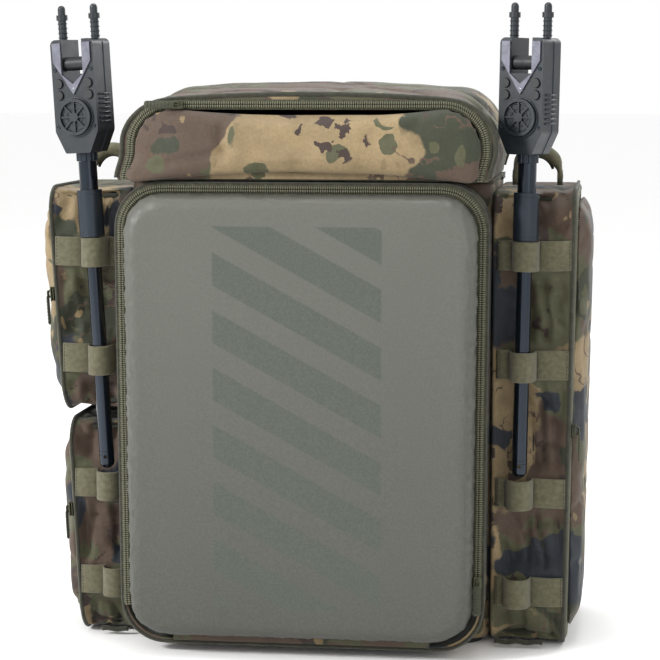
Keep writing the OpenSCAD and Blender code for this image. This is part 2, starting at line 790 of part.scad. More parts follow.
main_body();
base_panel();
frame_sheet();
front_pocket();
right_pocket();
left_upper_pocket();
left_lower_pocket();
back_panel();
shoulder_strap_left();
shoulder_strap_right();
strap_webbing();
ladder_locks();
chest_strap_left();
chest_strap_right();
chest_buckle_socket();
chest_buckle_plug();
left_webbing();
right_webbing();
main_zip_tape();
front_zip_tape();
side_zip_tapes();
front_door();
front_door_zip();
lid_base();
lid_pocket();
lid_zip_tapes();
lid_flap();
lid_flap_zip();
right_door();
left_upper_door();
left_lower_door();
front_slider();
lid_slider();
main_slider();
right_slider();
left_upper_slider();
left_lower_slider();
haul_handle();
side_handle_left();
side_handle_right();
stick_tube(-1);  // left_stick_tube
stick_collar(-1);  // left_stick_collar
stick_rod(-1);  // left_stick_rod
alarm_case(-1);  // left_alarm_case
alarm_fascia(-1);  // left_alarm_fascia
alarm_roller(-1);  // left_alarm_roller
alarm_ears(-1);  // left_alarm_ears
alarm_keypad(-1);  // left_alarm_keypad
alarm_speaker(-1);  // left_alarm_speaker
alarm_nut(-1);  // left_alarm_nut
stick_tube(1);  // right_stick_tube
stick_collar(1);  // right_stick_collar
stick_rod(1);  // right_stick_rod
alarm_case(1);  // right_alarm_case
alarm_fascia(1);  // right_alarm_fascia
alarm_roller(1);  // right_alarm_roller
alarm_ears(1);  // right_alarm_ears
alarm_keypad(1);  // right_alarm_keypad
alarm_speaker(1);  // right_alarm_speaker
alarm_nut(1);  // right_alarm_nut
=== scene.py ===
import math
import bmesh
import bpy
import numpy as np
from mathutils import Matrix, Vector


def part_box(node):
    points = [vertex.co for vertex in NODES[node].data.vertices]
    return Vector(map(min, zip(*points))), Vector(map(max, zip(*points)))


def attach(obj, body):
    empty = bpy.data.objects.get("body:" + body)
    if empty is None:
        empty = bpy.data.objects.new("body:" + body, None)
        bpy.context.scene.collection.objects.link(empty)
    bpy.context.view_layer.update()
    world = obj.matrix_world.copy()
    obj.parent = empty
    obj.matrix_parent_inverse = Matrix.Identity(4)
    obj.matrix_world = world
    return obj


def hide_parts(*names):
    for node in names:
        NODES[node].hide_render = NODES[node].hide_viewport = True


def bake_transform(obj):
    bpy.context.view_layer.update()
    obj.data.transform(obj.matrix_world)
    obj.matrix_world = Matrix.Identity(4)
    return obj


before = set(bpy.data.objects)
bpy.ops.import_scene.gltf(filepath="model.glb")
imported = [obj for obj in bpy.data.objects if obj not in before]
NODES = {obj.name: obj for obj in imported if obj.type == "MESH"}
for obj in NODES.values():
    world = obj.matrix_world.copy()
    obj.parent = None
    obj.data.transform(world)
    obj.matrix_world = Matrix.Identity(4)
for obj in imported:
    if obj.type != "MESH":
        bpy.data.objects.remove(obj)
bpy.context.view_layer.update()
MM = 0.001


def span(node):
    """Lowest and highest corner of a CAD node, in millimetres."""
    lo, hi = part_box(node)
    return np.array(lo) / MM, np.array(hi) / MM


# ---------------------------------------------------------------- camera
YAW, ELEV, DIST = math.radians(7.5), math.radians(6.5), 2.0
LENS_MM, SENSOR_MM = 119.95, 36
AIM = Vector((0.009, 0.0, 0.2705))


def make_camera():
    back = Vector((math.sin(YAW) * math.cos(ELEV), -math.cos(YAW) * math.cos(ELEV), math.sin(ELEV)))
    data = bpy.data.cameras.new("camera")
    data.sensor_width = SENSOR_MM
    data.lens = LENS_MM
    camera = bpy.data.objects.new("camera", data)
    bpy.context.scene.collection.objects.link(camera)
    camera.location = AIM + back * DIST
    camera.rotation_euler = (-back).to_track_quat("-Z", "Y").to_euler()
    bpy.context.scene.camera = camera


make_camera()

# ---------------------------------------------------------------- sizes, mm
BODY_LO, BODY_HI = span("main_body")
HALF, BACK, PACK_H = BODY_HI[0], BODY_HI[1], BODY_HI[2]
POCKET_LO, POCKET_HI = span("front_pocket")
FRONT, MOUTH = POCKET_HI[1], POCKET_LO[1]
DOOR_LO, DOOR_HI = span("front_door")
LID_LO, LID_HI = span("lid_pocket")
LID_BASE_LO, LID_BASE_HI = span("lid_base")
LID_TOP = PACK_H + 76
WALL = 4.0
ZIP_EDGE, ZIP_TAPE, ZIP_SLIT, ZIP_T = 0.5, 4.0, 0.5, 1.8
ZIP_LINE = ZIP_EDGE + ZIP_TAPE + ZIP_SLIT / 2
ZIP_BAND = ZIP_EDGE + 2 * ZIP_TAPE + ZIP_SLIT
GAP = 0.3
HINGE_Z = POCKET_LO[2] + 23


# ---------------------------------------------------------------- noise
def lattice(cell, seed):
    h = (cell[:, 0] * 73856093) ^ (cell[:, 1] * 19349663) ^ (cell[:, 2] * 83492791) ^ (seed * 26544357)
    h = ((h ^ (h >> 13)) * 1274126177) & 0xFFFFFFFF
    return ((h ^ (h >> 16)) & 0xFFFF) / 65535.0


def value_noise(p, seed):
    cell = np.floor(p).astype(np.int64)
    t = p - cell
    t = t * t * (3 - 2 * t)
    total = np.zeros(len(p))
    for dx in (0, 1):
        for dy in (0, 1):
            for dz in (0, 1):
                w = (t[:, 0] if dx else 1 - t[:, 0]) * (t[:, 1] if dy else 1 - t[:, 1]) \
                    * (t[:, 2] if dz else 1 - t[:, 2])
                total += w * lattice(cell + np.array([dx, dy, dz]), seed)
    return total * 2 - 1


def fbm(p, seed, octaves=3):
    """Smooth noise between about -1 and 1 at the points p."""
    total, amp = np.zeros(len(p)), 1.0
    for k in range(octaves):
        total += amp * value_noise(p * 2.03 ** k + 17.3 * k, seed + k)
        amp *= 0.5
    return total / 1.6


def ridges(p, seed, octaves=2):
    """Creases: 1 along sharp lines, falling to 0 between them."""
    return 1 - np.minimum(1, np.abs(fbm(p, seed, octaves)) * 2.2)


def smooth(x, a, b):
    t = np.clip((np.asarray(x, float) - a) / (b - a), 0, 1)
    return t * t * (3 - 2 * t)


# ---------------------------------------------------------------- outlines
def corner(a, b, c, r, k):
    a, b, c = (np.array(v, float) for v in (a, b, c))
    u, v = (a - b) / np.linalg.norm(a - b), (c - b) / np.linalg.norm(c - b)
    half = math.acos(np.clip(u @ v, -1, 1)) / 2
    m = (u + v) / np.linalg.norm(u + v)
    mid = b + m * r / math.sin(half)
    p, q = b + u * r / math.tan(half), b + v * r / math.tan(half)
    a0 = math.atan2(p[1] - mid[1], p[0] - mid[0])
    a1 = math.atan2(q[1] - mid[1], q[0] - mid[0])
    turn = (a1 - a0 + 3 * math.pi) % (2 * math.pi) - math.pi
    return [mid + r * np.array([math.cos(a0 + turn * i / k), math.sin(a0 + turn * i / k)])
            for i in range(k + 1)]


class Outline:
    """A rounded outline that keeps the same number of points at every inset."""

    def __init__(self, fn, step=6.0, k=8):
        self.fn, self.k = fn, k
        arcs = self.arcs(0)
        n = len(arcs)
        self.counts = [max(1, round(np.linalg.norm(arcs[(i + 1) % n][0] - arcs[i][-1]) / step))
                       for i in range(n)]

    def arcs(self, m):
        pts, radii = self.fn(m)
        n = len(pts)
        return [corner(pts[(i + n - 1) % n], pts[i], pts[(i + 1) % n], max(radii[i], 0.3), self.k)
                for i in range(n)]

    def ring(self, m=0.0):
        arcs, out = self.arcs(m), []
        n = len(arcs)
        for i, arc in enumerate(arcs):
            out += arc
            nxt = arcs[(i + 1) % n][0]
            out += [arc[-1] + (nxt - arc[-1]) * j / self.counts[i] for j in range(1, self.counts[i])]
        return np.array(out)


def box_fn(x0, y0, x1, y1, r):
    return lambda m: ([(x0 + m, y0 + m), (x1 - m, y0 + m), (x1 - m, y1 - m), (x0 + m, y1 - m)],
                      [max(r - m, 0.5)] * 4)


FRONT_TOP, FRONT_BOTTOM, FRONT_R = HALF, HALF - 3, 38.0
Z0, Z1 = POCKET_LO[2], POCKET_HI[2]


def front_fn(m):
    r = max(FRONT_R - m * 0.6, 10)
    return ([(-FRONT_BOTTOM + m, Z0 + m), (FRONT_BOTTOM - m, Z0 + m),
             (FRONT_TOP - m, Z1 - m), (-FRONT_TOP + m, Z1 - m)], [r] * 4)


LID_FLOOR = 4.6
FLAP_HALF, FLAP_Z0, FLAP_Z1, LID_R = HALF - 4, LID_BASE_HI[2] + 1, LID_TOP - 4, 40.0


def flap_fn(m):
    return ([(-FLAP_HALF + m, FLAP_Z0), (FLAP_HALF - m, FLAP_Z0),
             (FLAP_HALF - m, FLAP_Z1 - m), (-FLAP_HALF + m, FLAP_Z1 - m)],
            [2, 2, LID_R - 2 - m * 0.6, LID_R - 2 - m * 0.6])


def xz(ring, y):
    """Puts a front outline at depth y, which may be one number or one for each point."""
    return np.column_stack([ring[:, 0], np.broadcast_to(y, len(ring)), ring[:, 1]])


def xy(ring, z):
    return np.column_stack([ring[:, 0], ring[:, 1], np.broadcast_to(z, len(ring))])


# ---------------------------------------------------------------- mesh building
class Geo:
    """Gathers vertices (mm) and faces, then builds one Blender object."""

    def __init__(self):
        self.v, self.f, self.m, self.n = [], [], [], 0

    def add(self, verts, faces, mat=0):
        verts = np.asarray(verts, float).reshape(-1, 3)
        self.v.append(verts)
        self.f += [tuple(i + self.n for i in f) for f in faces]
        self.m += [mat] * len(faces)
        self.n += len(verts)

    def rings(self, rings, mat=0, cap0=False, cap1=False, closed=True, mats=None):
        """Joins equal rings of points with quads; a cap closes an end ring with a strip of quads."""
        rings = [np.asarray(r, float) for r in rings]
        n, count = len(rings[0]), len(rings)
        faces, tags = [], []
        for j in range(count - 1):
            for i in range(n if closed else n - 1):
                k = (i + 1) % n
                faces.append((j * n + i, j * n + k, (j + 1) * n + k, (j + 1) * n + i))
                tags.append(mats[j] if mats else mat)
        for flag, base in ((cap0, 0), (cap1, (count - 1) * n)):
            if flag:
                for i in range((n - 1) // 2):
                    quad = (base + i, base + i + 1, base + n - 2 - i, base + n - 1 - i)
                    quad = quad if quad[1] != quad[2] else quad[:2] + quad[3:]
                    faces.append(quad if base else quad[::-1])
                    tags.append((mats[0] if base == 0 else mats[-1]) if mats else mat)
        start = len(self.m)
        self.add(np.concatenate(rings), faces, mat)
        self.m[start:] = tags

    def sweep(self, path, across, up, profile, mat=0, closed=False):
        path, profile = np.asarray(path, float), np.asarray(profile, float)
        across = np.broadcast_to(across, path.shape)
        up = np.broadcast_to(up, path.shape)
        rings = [path[i] + profile[:, :1] * across[i] + profile[:, 1:] * up[i] for i in range(len(path))]
        if closed:
            self.rings(rings + [rings[0]], mat)
        else:
            self.rings(rings, mat, cap0=True, cap1=True)

    def tube(self, path, r, mat=0, closed=False, k=8, up=(0, 0, 1)):
        path = np.asarray(path, float)
        tan = np.gradient(path, axis=0) if not closed else np.roll(path, -1, 0) - np.roll(path, 1, 0)
        tan /= np.linalg.norm(tan, axis=1)[:, None] + 1e-9
        side = np.cross(tan, np.array(up, float))
        side /= np.linalg.norm(side, axis=1)[:, None] + 1e-9
        other = np.cross(side, tan)
        a = np.arange(k) * 2 * math.pi / k
        self.sweep(path, side, other, np.column_stack([np.cos(a), np.sin(a)]) * r, mat, closed)

    def bricks(self, centres, a, b, c, size, mat=0, top=0.6):
        """Small tapered blocks, such as zip teeth and stitches, at many places at once."""
        centres = np.asarray(centres, float)
        a, b, c = (np.broadcast_to(v, centres.shape) for v in (a, b, c))
        corners = []
        for h, s in ((-1, 1.0), (1, top)):
            for i, j in ((-1, -1), (1, -1), (1, 1), (-1, 1)):
                corners.append(centres + a * (i * size[0] / 2 * s) + b * (j * size[1] / 2 * s)
                               + c * (h * size[2] / 2))
        verts = np.stack(corners, axis=1).reshape(-1, 3)
        faces = []
        for q in range(len(centres)):
            o = q * 8
            faces += [(o, o + 3, o + 2, o + 1), (o + 4, o + 5, o + 6, o + 7)]
            faces += [(o + i, o + (i + 1) % 4, o + 4 + (i + 1) % 4, o + 4 + i) for i in range(4)]
        self.add(verts, faces, mat)

    def build(self, name, mats, body=None, replaces=(), slot=None):
        mesh = bpy.data.meshes.new(name)
        verts = np.concatenate(self.v) * MM
        mesh.from_pydata(verts.tolist(), [], self.f)
        mesh.polygons.foreach_set("material_index", self.m)
        obj = bpy.data.objects.new(name, mesh)
        bpy.context.scene.collection.objects.link(obj)
        for m in mats:
            mesh.materials.append(m)
        recalc(obj)
        mesh.polygons.foreach_set("use_smooth", [True] * len(mesh.polygons))
        if body:
            finish_piece(obj, body, replaces)
        return obj


def finish_piece(obj, body, replaces=()):
    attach(obj, body)
    if replaces:
        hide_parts(*replaces)


def recalc(obj):
    bm = bmesh.new()
    bm.from_mesh(obj.data)
    bmesh.ops.remove_doubles(bm, verts=bm.verts, dist=1e-6)
    bmesh.ops.recalc_face_normals(bm, faces=bm.faces)
    bm.to_mesh(obj.data)
    bm.free()


def points(obj):
    co = np.empty(len(obj.data.vertices) * 3)
    obj.data.vertices.foreach_get("co", co)
    return co.reshape(-1, 3) / MM


def write_points(obj, co):
    obj.data.vertices.foreach_set("co", (co * MM).ravel())


def push(obj, fn):
    """Moves the vertices by fn(points, normals), all in millimetres."""
    co = points(obj)
    n = np.empty(len(co) * 3)
    obj.data.vertices.foreach_get("normal", n)
    co = co + fn(co, n.reshape(-1, 3))
    write_points(obj, co)
    obj.data.update()


def apply_modifier(obj, mod):
    bpy.context.view_layer.objects.active = obj
    for o in bpy.context.selected_objects:
        o.select_set(False)
    obj.select_set(True)
    bpy.ops.object.modifier_apply(modifier=mod.name)


def subdivide(obj, levels=1):
    mod = obj.modifiers.new("round", "SUBSURF")
    mod.levels = mod.render_levels = levels
    apply_modifier(obj, mod)


CLOTH_FRAMES, CLOTH_STIFFNESS = 20, 8.0


def puff(obj, cap, voxel, pressure):
    """Blows a closed shape up as cloth, no vertex moving further than cap millimetres."""
    mod = obj.modifiers.new("remesh", "REMESH")
    mod.mode, mod.voxel_size = "VOXEL", voxel * MM
    apply_modifier(obj, mod)
    rest = points(obj)
    mod = obj.modifiers.new("cloth", "CLOTH")
    s = mod.settings
    s.quality = 5
    s.mass = 0.3
    s.tension_stiffness = s.compression_stiffness = s.shear_stiffness = CLOTH_STIFFNESS
    s.bending_stiffness = 0.3
    s.use_pressure, s.uniform_pressure_force = True, pressure
    s.effector_weights.gravity = 0
    scene = bpy.context.scene
    mod.point_cache.frame_start, mod.point_cache.frame_end = 1, CLOTH_FRAMES
    for f in range(1, CLOTH_FRAMES + 1):
        scene.frame_set(f)
    apply_modifier(obj, mod)
    scene.frame_set(1)
    moved = points(obj) - rest
    length = np.linalg.norm(moved, axis=1)[:, None] + 1e-9
    co = rest + moved / length * (cap * np.tanh(length / cap))
    write_points(obj, co)
    subdivide(obj)
    for p in obj.data.polygons:
        p.use_smooth = True


# ---------------------------------------------------------------- materials
class Mat:
    """A short way to write a node material."""

    def __init__(self, name):
        self.m = bpy.data.materials.new(name)
        self.m.use_nodes = True
        self.t = self.m.node_tree
        self.bsdf = self.t.nodes["Principled BSDF"]
        self.coord = self.t.nodes.new("ShaderNodeTexCoord").outputs["Object"]

    def link(self, value, socket):
        if isinstance(value, bpy.types.NodeSocket):
            self.t.links.new(value, socket)
        elif isinstance(value, tuple) and len(value) == 3 and len(getattr(socket, "default_value", ())) == 4:
            socket.default_value = (*value, 1)
        else:
            socket.default_value = value

    def node(self, kind, out=0, **inputs):
        n = self.t.nodes.new("ShaderNode" + kind)
        for key in list(inputs):
            if hasattr(n, key) and key not in n.inputs:
                setattr(n, key, inputs.pop(key))
        for key, value in inputs.items():
            index = int(key[1:]) if key[0] == "i" and key[1:].isdigit() else key.replace("_", " ")
            self.link(value, n.inputs[index])
        return n.outputs[out]

    def noise(self, scale, detail=2.0, vector=None, out="Fac", rough=0.5, distortion=0.0):
        return self.node("TexNoise", out, Vector=vector or self.coord, Scale=scale, Detail=detail,
                         Roughness=rough, Distortion=distortion)

    def cells(self, scale, vector=None, out="Distance", randomness=1.0, feature="F1"):
        return self.node("TexVoronoi", out, feature=feature, Vector=vector or self.coord, Scale=scale,
                         Randomness=randomness)

    def wave(self, scale, direction="X", vector=None, distortion=0.0):
        return self.node("TexWave", "Fac", wave_type="BANDS", bands_direction=direction,
                         Vector=vector or self.coord, Scale=scale, Distortion=distortion)

    def step(self, value, at, soft=0.006):
        """0 below the threshold and 1 above it, with a short ramp between."""
        return self.node("MapRange", 0, clamp=True, i0=value, i1=at - soft, i2=at + soft, i3=0.0, i4=1.0)

    def ramp(self, value, a, b, lo=0.0, hi=1.0):
        return self.node("MapRange", 0, clamp=True, i0=value, i1=a, i2=b, i3=lo, i4=hi)

    def math(self, op, a, b=0.0, clamp=False):
        return self.node("Math", 0, operation=op, use_clamp=clamp, i0=a, i1=b)

    def mix(self, fac, a, b, blend="MIX"):
        n = self.t.nodes.new("ShaderNodeMix")
        n.data_type, n.blend_type = "RGBA", blend
        self.link(fac, n.inputs[0])
        self.link(a, n.inputs[6])
        self.link(b, n.inputs[7])
        return n.outputs[2]

    def scaled(self, x, y, z, offset=(0, 0, 0)):
        return self.node("Mapping", 0, Vector=self.coord, Scale=(x, y, z), Location=offset)

    def warped(self, scale, amount, vector=None):
        """The coordinates, shifted about by a noise."""
        vector = vector or self.coord
        shift = self.node("VectorMath", 0, operation="SUBTRACT",
                          i0=self.noise(scale, 3, vector, "Color"), i1=(0.5, 0.5, 0.5))
        n = self.t.nodes.new("ShaderNodeVectorMath")
        n.operation = "SCALE"
        self.link(shift, n.inputs[0])
        n.inputs[3].default_value = amount
        return self.node("VectorMath", 0, operation="ADD", i0=vector, i1=n.outputs[0])

    def bump(self, *layers):
        """Stacks (height, distance in mm, strength) layers into a normal."""
        normal = None
        for height, distance, strength in layers:
            inputs = {"Height": height, "Distance": distance * MM, "Strength": strength}
            if normal is not None:
                inputs["Normal"] = normal
            normal = self.node("Bump", 0, **inputs)
        self.link(normal, self.bsdf.inputs["Normal"])

    def done(self, color=None, rough=0.6, metal=0.0, **more):
        b = self.bsdf.inputs
        if color is not None:
            self.link(color, b["Base Color"])
        self.link(rough, b["Roughness"])
        b["Metallic"].default_value = metal
        for key, value in more.items():
            self.link(value, b[key.replace("_", " ")])
        return self.m


DYE = 0.62        # a dyed surface is this much darker than it looks under the studio light


def rgb(r, g, b):
    """A display colour, 0 to 255, as the linear colour of a surface that looks like it."""
    return tuple(DYE * ((v / 255 + 0.055) / 1.055) ** 2.4 for v in (r, g, b))


TAN, TAN2 = rgb(172, 150, 112), rgb(146, 126, 92)
BROWN, DARK_BROWN = rgb(96, 78, 64), rgb(70, 55, 48)
OLIVE, DARK_OLIVE = rgb(92, 92, 66), rgb(62, 66, 48)
NAVY = rgb(44, 50, 58)


def weave_bump(m):
    fine = m.math("ADD", m.wave(520, "X", distortion=0.4), m.wave(520, "Z", distortion=0.4))
    fine = m.math("ADD", fine, m.wave(520, "Y", distortion=0.4))
    m.bump((m.noise(34, 4), 1.2, 0.18), (m.noise(150, 3), 0.6, 0.22), (fine, 0.25, 0.25))


def camo(name, tan=0.5, dark=0.62, tan_at=None, olive=0.5, shade=1.0, offset=(0, 0, 0)):
    """Printed camouflage: brown and olive ground, tan areas, ovals, leaves, twigs and dark blots."""
    m = Mat(name)
    base = m.scaled(1, 1, 1, offset)
    w = m.warped(26, 0.022, base)
    w2 = m.warped(80, 0.010, w)
    ground = m.mix(m.step(m.noise(11, 1.5, w2), olive), BROWN, OLIVE)
    ground = m.mix(m.step(m.noise(15, 1.0, m.warped(40, 0.03, base)), 0.60), ground, DARK_OLIVE)
    tan_noise = m.noise(9.0, 1.6, m.warped(60, 0.012, w))
    if tan_at is not None:
        (cx, cz), (rx, rz), push_up = tan_at
        xyz = m.node("SeparateXYZ", 0, i0=m.coord)
        sep = xyz.node
        dx = m.math("DIVIDE", m.math("SUBTRACT", sep.outputs[0], cx), rx)
        dz = m.math("DIVIDE", m.math("SUBTRACT", sep.outputs[2], cz), rz)
        d = m.math("SQRT", m.math("ADD", m.math("MULTIPLY", dx, dx), m.math("MULTIPLY", dz, dz)))
        tan_noise = m.math("ADD", tan_noise, m.ramp(d, 0.5, 1.5, push_up, -push_up))
    tan_mask = m.step(tan_noise, tan)
    color = m.mix(tan_mask, ground, m.mix(m.ramp(m.noise(28, 3), 0.35, 0.7), TAN, TAN2))
    ovals = m.math("LESS_THAN", m.cells(31, m.warped(90, 0.007, base)), 0.33)
    keep = m.step(m.noise(23, 1, m.scaled(1, 1, 1, (0.4, 0.7, 0.2))), 0.49)
    color = m.mix(m.math("MULTIPLY", ovals, keep), color, OLIVE)
    leaves = m.math("LESS_THAN", m.cells(40, m.warped(95, 0.026, base)), 0.31)
    keep = m.step(m.noise(17, 1, m.scaled(1, 1, 1, (1.4, 0.1, 0.9))), 0.50)
    color = m.mix(m.math("MULTIPLY", leaves, keep), color, DARK_BROWN)
    twig = m.math("LESS_THAN", m.math("ABSOLUTE", m.math("SUBTRACT", m.noise(30, 2, w2), 0.5)), 0.012)
    keep = m.step(m.noise(14, 1, m.scaled(1, 1, 1, (2.4, 1.1, 0.3))), 0.57)
    color = m.mix(m.math("MULTIPLY", twig, keep), color, BROWN)
    streak = m.math("LESS_THAN", m.cells(52, m.node("Mapping", 0, Vector=w, Scale=(1, 1, 0.45))), 0.17)
    keep = m.step(m.noise(17, 1, m.scaled(1, 1, 1, (0.9, 2.1, 1.3))), 0.56)
    color = m.mix(m.math("MULTIPLY", streak, keep), color, TAN2)
    blots = m.step(m.noise(13, 2.2, m.warped(50, 0.02, m.scaled(1, 1, 1, (3.3, 0.2, 1.9)))), dark)
    color = m.mix(blots, color, NAVY)
    speck = m.ramp(m.noise(420, 2), 0.3, 0.7, 0.88 * shade, 1.08 * shade)
    fade = m.ramp(m.noise(7, 3), 0.3, 0.7, 0.90, 1.06)
    tone = m.math("MULTIPLY", speck, fade)
    color = m.mix(1.0, color, m.node("CombineColor", 0, i0=tone, i1=tone, i2=tone), "MULTIPLY")
    weave_bump(m)
    return m.done(color, m.ramp(m.noise(60, 3), 0.3, 0.7, 0.62, 0.82), Sheen_Weight=0.12,
                  Sheen_Roughness=0.5, Specular_IOR_Level=0.35)


def cloth(name, color, other=None, scale=520, rough=(0.7, 0.88), rib=None, strength=0.3):
    """Plain woven fabric or webbing: two yarn tones, ribs and a little dirt."""
    m = Mat(name)
    other = other or tuple(c * 0.72 for c in color)
    weave = m.math("MULTIPLY", m.wave(scale, "X", distortion=0.5), m.wave(scale, "Z", distortion=0.5))
    tone = m.math("ADD", m.math("MULTIPLY", weave, 0.5), m.ramp(m.noise(240, 3), 0.3, 0.7, 0.0, 0.6))
    base = m.mix(m.ramp(tone, 0.1, 0.9), other, color)
    base = m.mix(m.ramp(m.noise(11, 4), 0.42, 0.72, 0.0, 0.28), base, tuple(c * 0.55 for c in color))
    layers = [(m.noise(120, 3), 0.5, 0.25), (weave, 0.3, strength)]
    if rib:
        layers.append((m.wave(rib[0], rib[1]), 0.5, 0.55))
    m.bump(*layers)
    return m.done(base, m.ramp(m.noise(90, 2), 0.3, 0.7, *rough), Sheen_Weight=0.15, Sheen_Roughness=0.5,
                  Specular_IOR_Level=0.3)


def plastic(name, color, rough=(0.38, 0.52), grain=900, strength=0.12, wear=0.25, metal=0.0, coat=0.0):
    """Moulded plastic or anodised metal: fine grain, uneven gloss, paler rubbed patches."""
    m = Mat(name)
    pale = tuple(min(1.0, c * 1.5 + 0.01) for c in color)
    rub = m.ramp(m.noise(55, 5, rough=0.7), 0.52, 0.8, 0.0, wear)
    base = m.mix(rub, color, pale)
    base = m.mix(m.ramp(m.noise(18, 3), 0.4, 0.75, 0.0, 0.2), base, tuple(c * 0.6 for c in color))
    m.bump((m.noise(grain, 2), 0.12, strength), (m.noise(40, 2), 0.3, 0.05))
    return m.done(base, m.ramp(m.noise(130, 4), 0.3, 0.7, *rough), metal, Coat_Weight=coat,
                  Coat_Roughness=0.2)


PRINT_SLOPE, PRINT_PERIOD, PRINT_WIDTH = 0.55, 0.0245, 0.0105      # the door's slanted bars, m
PRINT_HALF, PRINT_Z0, PRINT_Z1, PRINT_SOFT = 0.072, 0.046, 0.374, 0.0006


def door_material():
    """Coated moulded foam: satin grey olive with painted shade, lighter at the top and darker towards the
    bottom, and a tonal band of slanted bars.
    """
    m = Mat("door_shell")
    sep = m.node("SeparateXYZ", 0, i0=m.coord).node
    x, z = sep.outputs[0], sep.outputs[2]
    # Painted shade: the door's colour runs from lighter at the top to darker towards the bottom, as light
    # falls on its crown.
    top, low = rgb(101, 102, 94), rgb(73, 73, 66)
    base = m.mix(m.ramp(z, 0.02, 0.40), low, top)
    base = m.mix(m.ramp(m.noise(5, 2), 0.35, 0.7, 0.0, 0.25), base, rgb(88, 90, 80))
    slant = m.math("ADD", z, m.math("MULTIPLY", x, PRINT_SLOPE))
    bar = m.math("PINGPONG", m.math("ADD", slant, 1.0), PRINT_PERIOD)
    bars = m.step(bar, PRINT_WIDTH, PRINT_SOFT)

    def between(value, lo, hi):
        above = m.step(value, hi, PRINT_SOFT)
        return m.math("MULTIPLY", m.step(value, lo, PRINT_SOFT), m.math("SUBTRACT", 1.0, above))
    inside = m.math("MULTIPLY", between(x, -PRINT_HALF, PRINT_HALF), between(z, PRINT_Z0, PRINT_Z1))
    face = m.step(sep.outputs[1], (DOOR_LO[1] + 3) * MM, 0.0005)
    print_mask = m.math("MULTIPLY", m.math("MULTIPLY", bars, inside), m.math("SUBTRACT", 1.0, face))
    base = m.mix(m.math("MULTIPLY", print_mask, 0.8), base, rgb(70, 80, 70))
    base = m.mix(m.ramp(m.noise(600, 3), 0.35, 0.7, 0.0, 0.10), base, rgb(150, 150, 138))
    pits = m.cells(520)
    m.bump((m.noise(9, 2), 1.6, 0.10), (m.noise(70, 4), 0.5, 0.10), (pits, 0.18, 0.22))
    return m.done(base, m.ramp(m.noise(30, 4), 0.3, 0.7, 0.44, 0.58), Coat_Weight=0.08, Coat_Roughness=0.35,
                  Specular_IOR_Level=0.45)


CAMO = camo("camo_fabric", tan=0.60, dark=0.60, shade=0.92)
CAMO_SIDE = camo("camo_side", tan=0.575, dark=0.60, olive=0.54, offset=(0.8, 0.3, 0.5), shade=0.95)
CAMO_LID = camo("camo_lid", tan=0.60, dark=0.66, offset=(0.15, 0.0, 0.35))
CAMO_FLAP = camo("camo_flap", tan=0.50, dark=0.74, olive=0.58, tan_at=((-0.008, 0.447), (0.098, 0.07), 0.20),
                 offset=(0.05, 0.2, 0.11))
LINING = cloth("lining", rgb(58, 60, 46), rough=(0.6, 0.75))
WEBBING = cloth("webbing", rgb(134, 129, 100), rgb(100, 97, 74), scale=700, rib=(430, "Z"), strength=0.4)
WEBBING_UP = cloth("webbing_upright", rgb(112, 108, 80), rgb(80, 78, 58), scale=700, rib=(430, "X"),
                   strength=0.4)
BINDING = cloth("binding", rgb(78, 78, 60), rgb(50, 51, 40), scale=800, rib=(500, "Z"))
TAPE = cloth("zip_tape", rgb(104, 104, 80), rgb(70, 70, 54), scale=900)
COIL = plastic("zip_coil", rgb(116, 116, 90), (0.35, 0.5), wear=0.35)
THREAD = cloth("thread", rgb(52, 50, 36), scale=1500, strength=0.5)
DOOR = door_material()
MESH = cloth("air_mesh", rgb(66, 70, 52), rgb(28, 30, 24), scale=260, strength=0.8)
PAD = cloth("pad_fabric", rgb(80, 82, 58), rgb(54, 56, 42))
RUBBER = plastic("base_rubber", rgb(30, 32, 31), (0.6, 0.8), grain=500, strength=0.4)
BOARD = plastic("board", rgb(46, 46, 46), (0.45, 0.6), grain=300, strength=0.3)
HARDWARE = plastic("hardware", rgb(34, 37, 34), (0.4, 0.55), wear=0.35)
SLIDER = plastic("slider", rgb(78, 80, 58), (0.3, 0.45), wear=0.5, metal=0.6)
PULL = cloth("pull_rubber", rgb(74, 76, 56), scale=400, rough=(0.55, 0.7))
STICK = plastic("stick_metal", rgb(31, 43, 57), (0.16, 0.26), grain=1200, strength=0.05, metal=0.75, coat=0.4)
COLLAR = plastic("collar", rgb(38, 49, 60), (0.34, 0.44), grain=1000, strength=0.15, metal=0.35)
CASE = plastic("alarm_plastic", rgb(28, 37, 44), (0.34, 0.48), grain=800, strength=0.25, wear=0.3)
FASCIA = plastic("fascia", rgb(146, 147, 160), (0.22, 0.34), grain=1200, strength=0.05, metal=0.7)
KEYS = plastic("keys", rgb(24, 28, 30), (0.45, 0.6), grain=600, strength=0.3)
LENS = plastic("lens", rgb(120, 128, 134), (0.1, 0.18), grain=300, strength=0.03, coat=0.8)


# ---------------------------------------------------------------- shared pieces of fabric work
def along(path):
    """Unit tangents of a path."""
    t = np.gradient(np.asarray(path, float), axis=0)
    return t / (np.linalg.norm(t, axis=1)[:, None] + 1e-9)


def even(path, step, closed=False):
    """Points every step millimetres along a path."""
    path = np.asarray(path, float)
    if closed:
        path = np.vstack([path, path[:1]])
    s = np.concatenate([[0], np.cumsum(np.linalg.norm(np.diff(path, axis=0), axis=1))])
    n = max(2, int(round(s[-1] / step)))
    q = np.linspace(0, s[-1], n + 1)
    return np.column_stack([np.interp(q, s, path[:, k]) for k in range(3)])


TAPE_T = 1.0        # thickness of the zip's woven tape
TOOTH_PITCH = 1.9
TOOTH = (3.0, 1.25, 1.3)
TOOTH_TILT = 0.32
ZIP_STITCH = (2.4, 0.5, 0.4)


def resample(vectors, count, unit=True):
    """Spreads a row of vectors evenly over count places."""
    at, old = np.linspace(0, 1, count), np.linspace(0, 1, len(vectors))
    out = np.column_stack([np.interp(at, old, vectors[:, k]) for k in range(3)])
    return out / np.linalg.norm(out, axis=1)[:, None] if unit else out


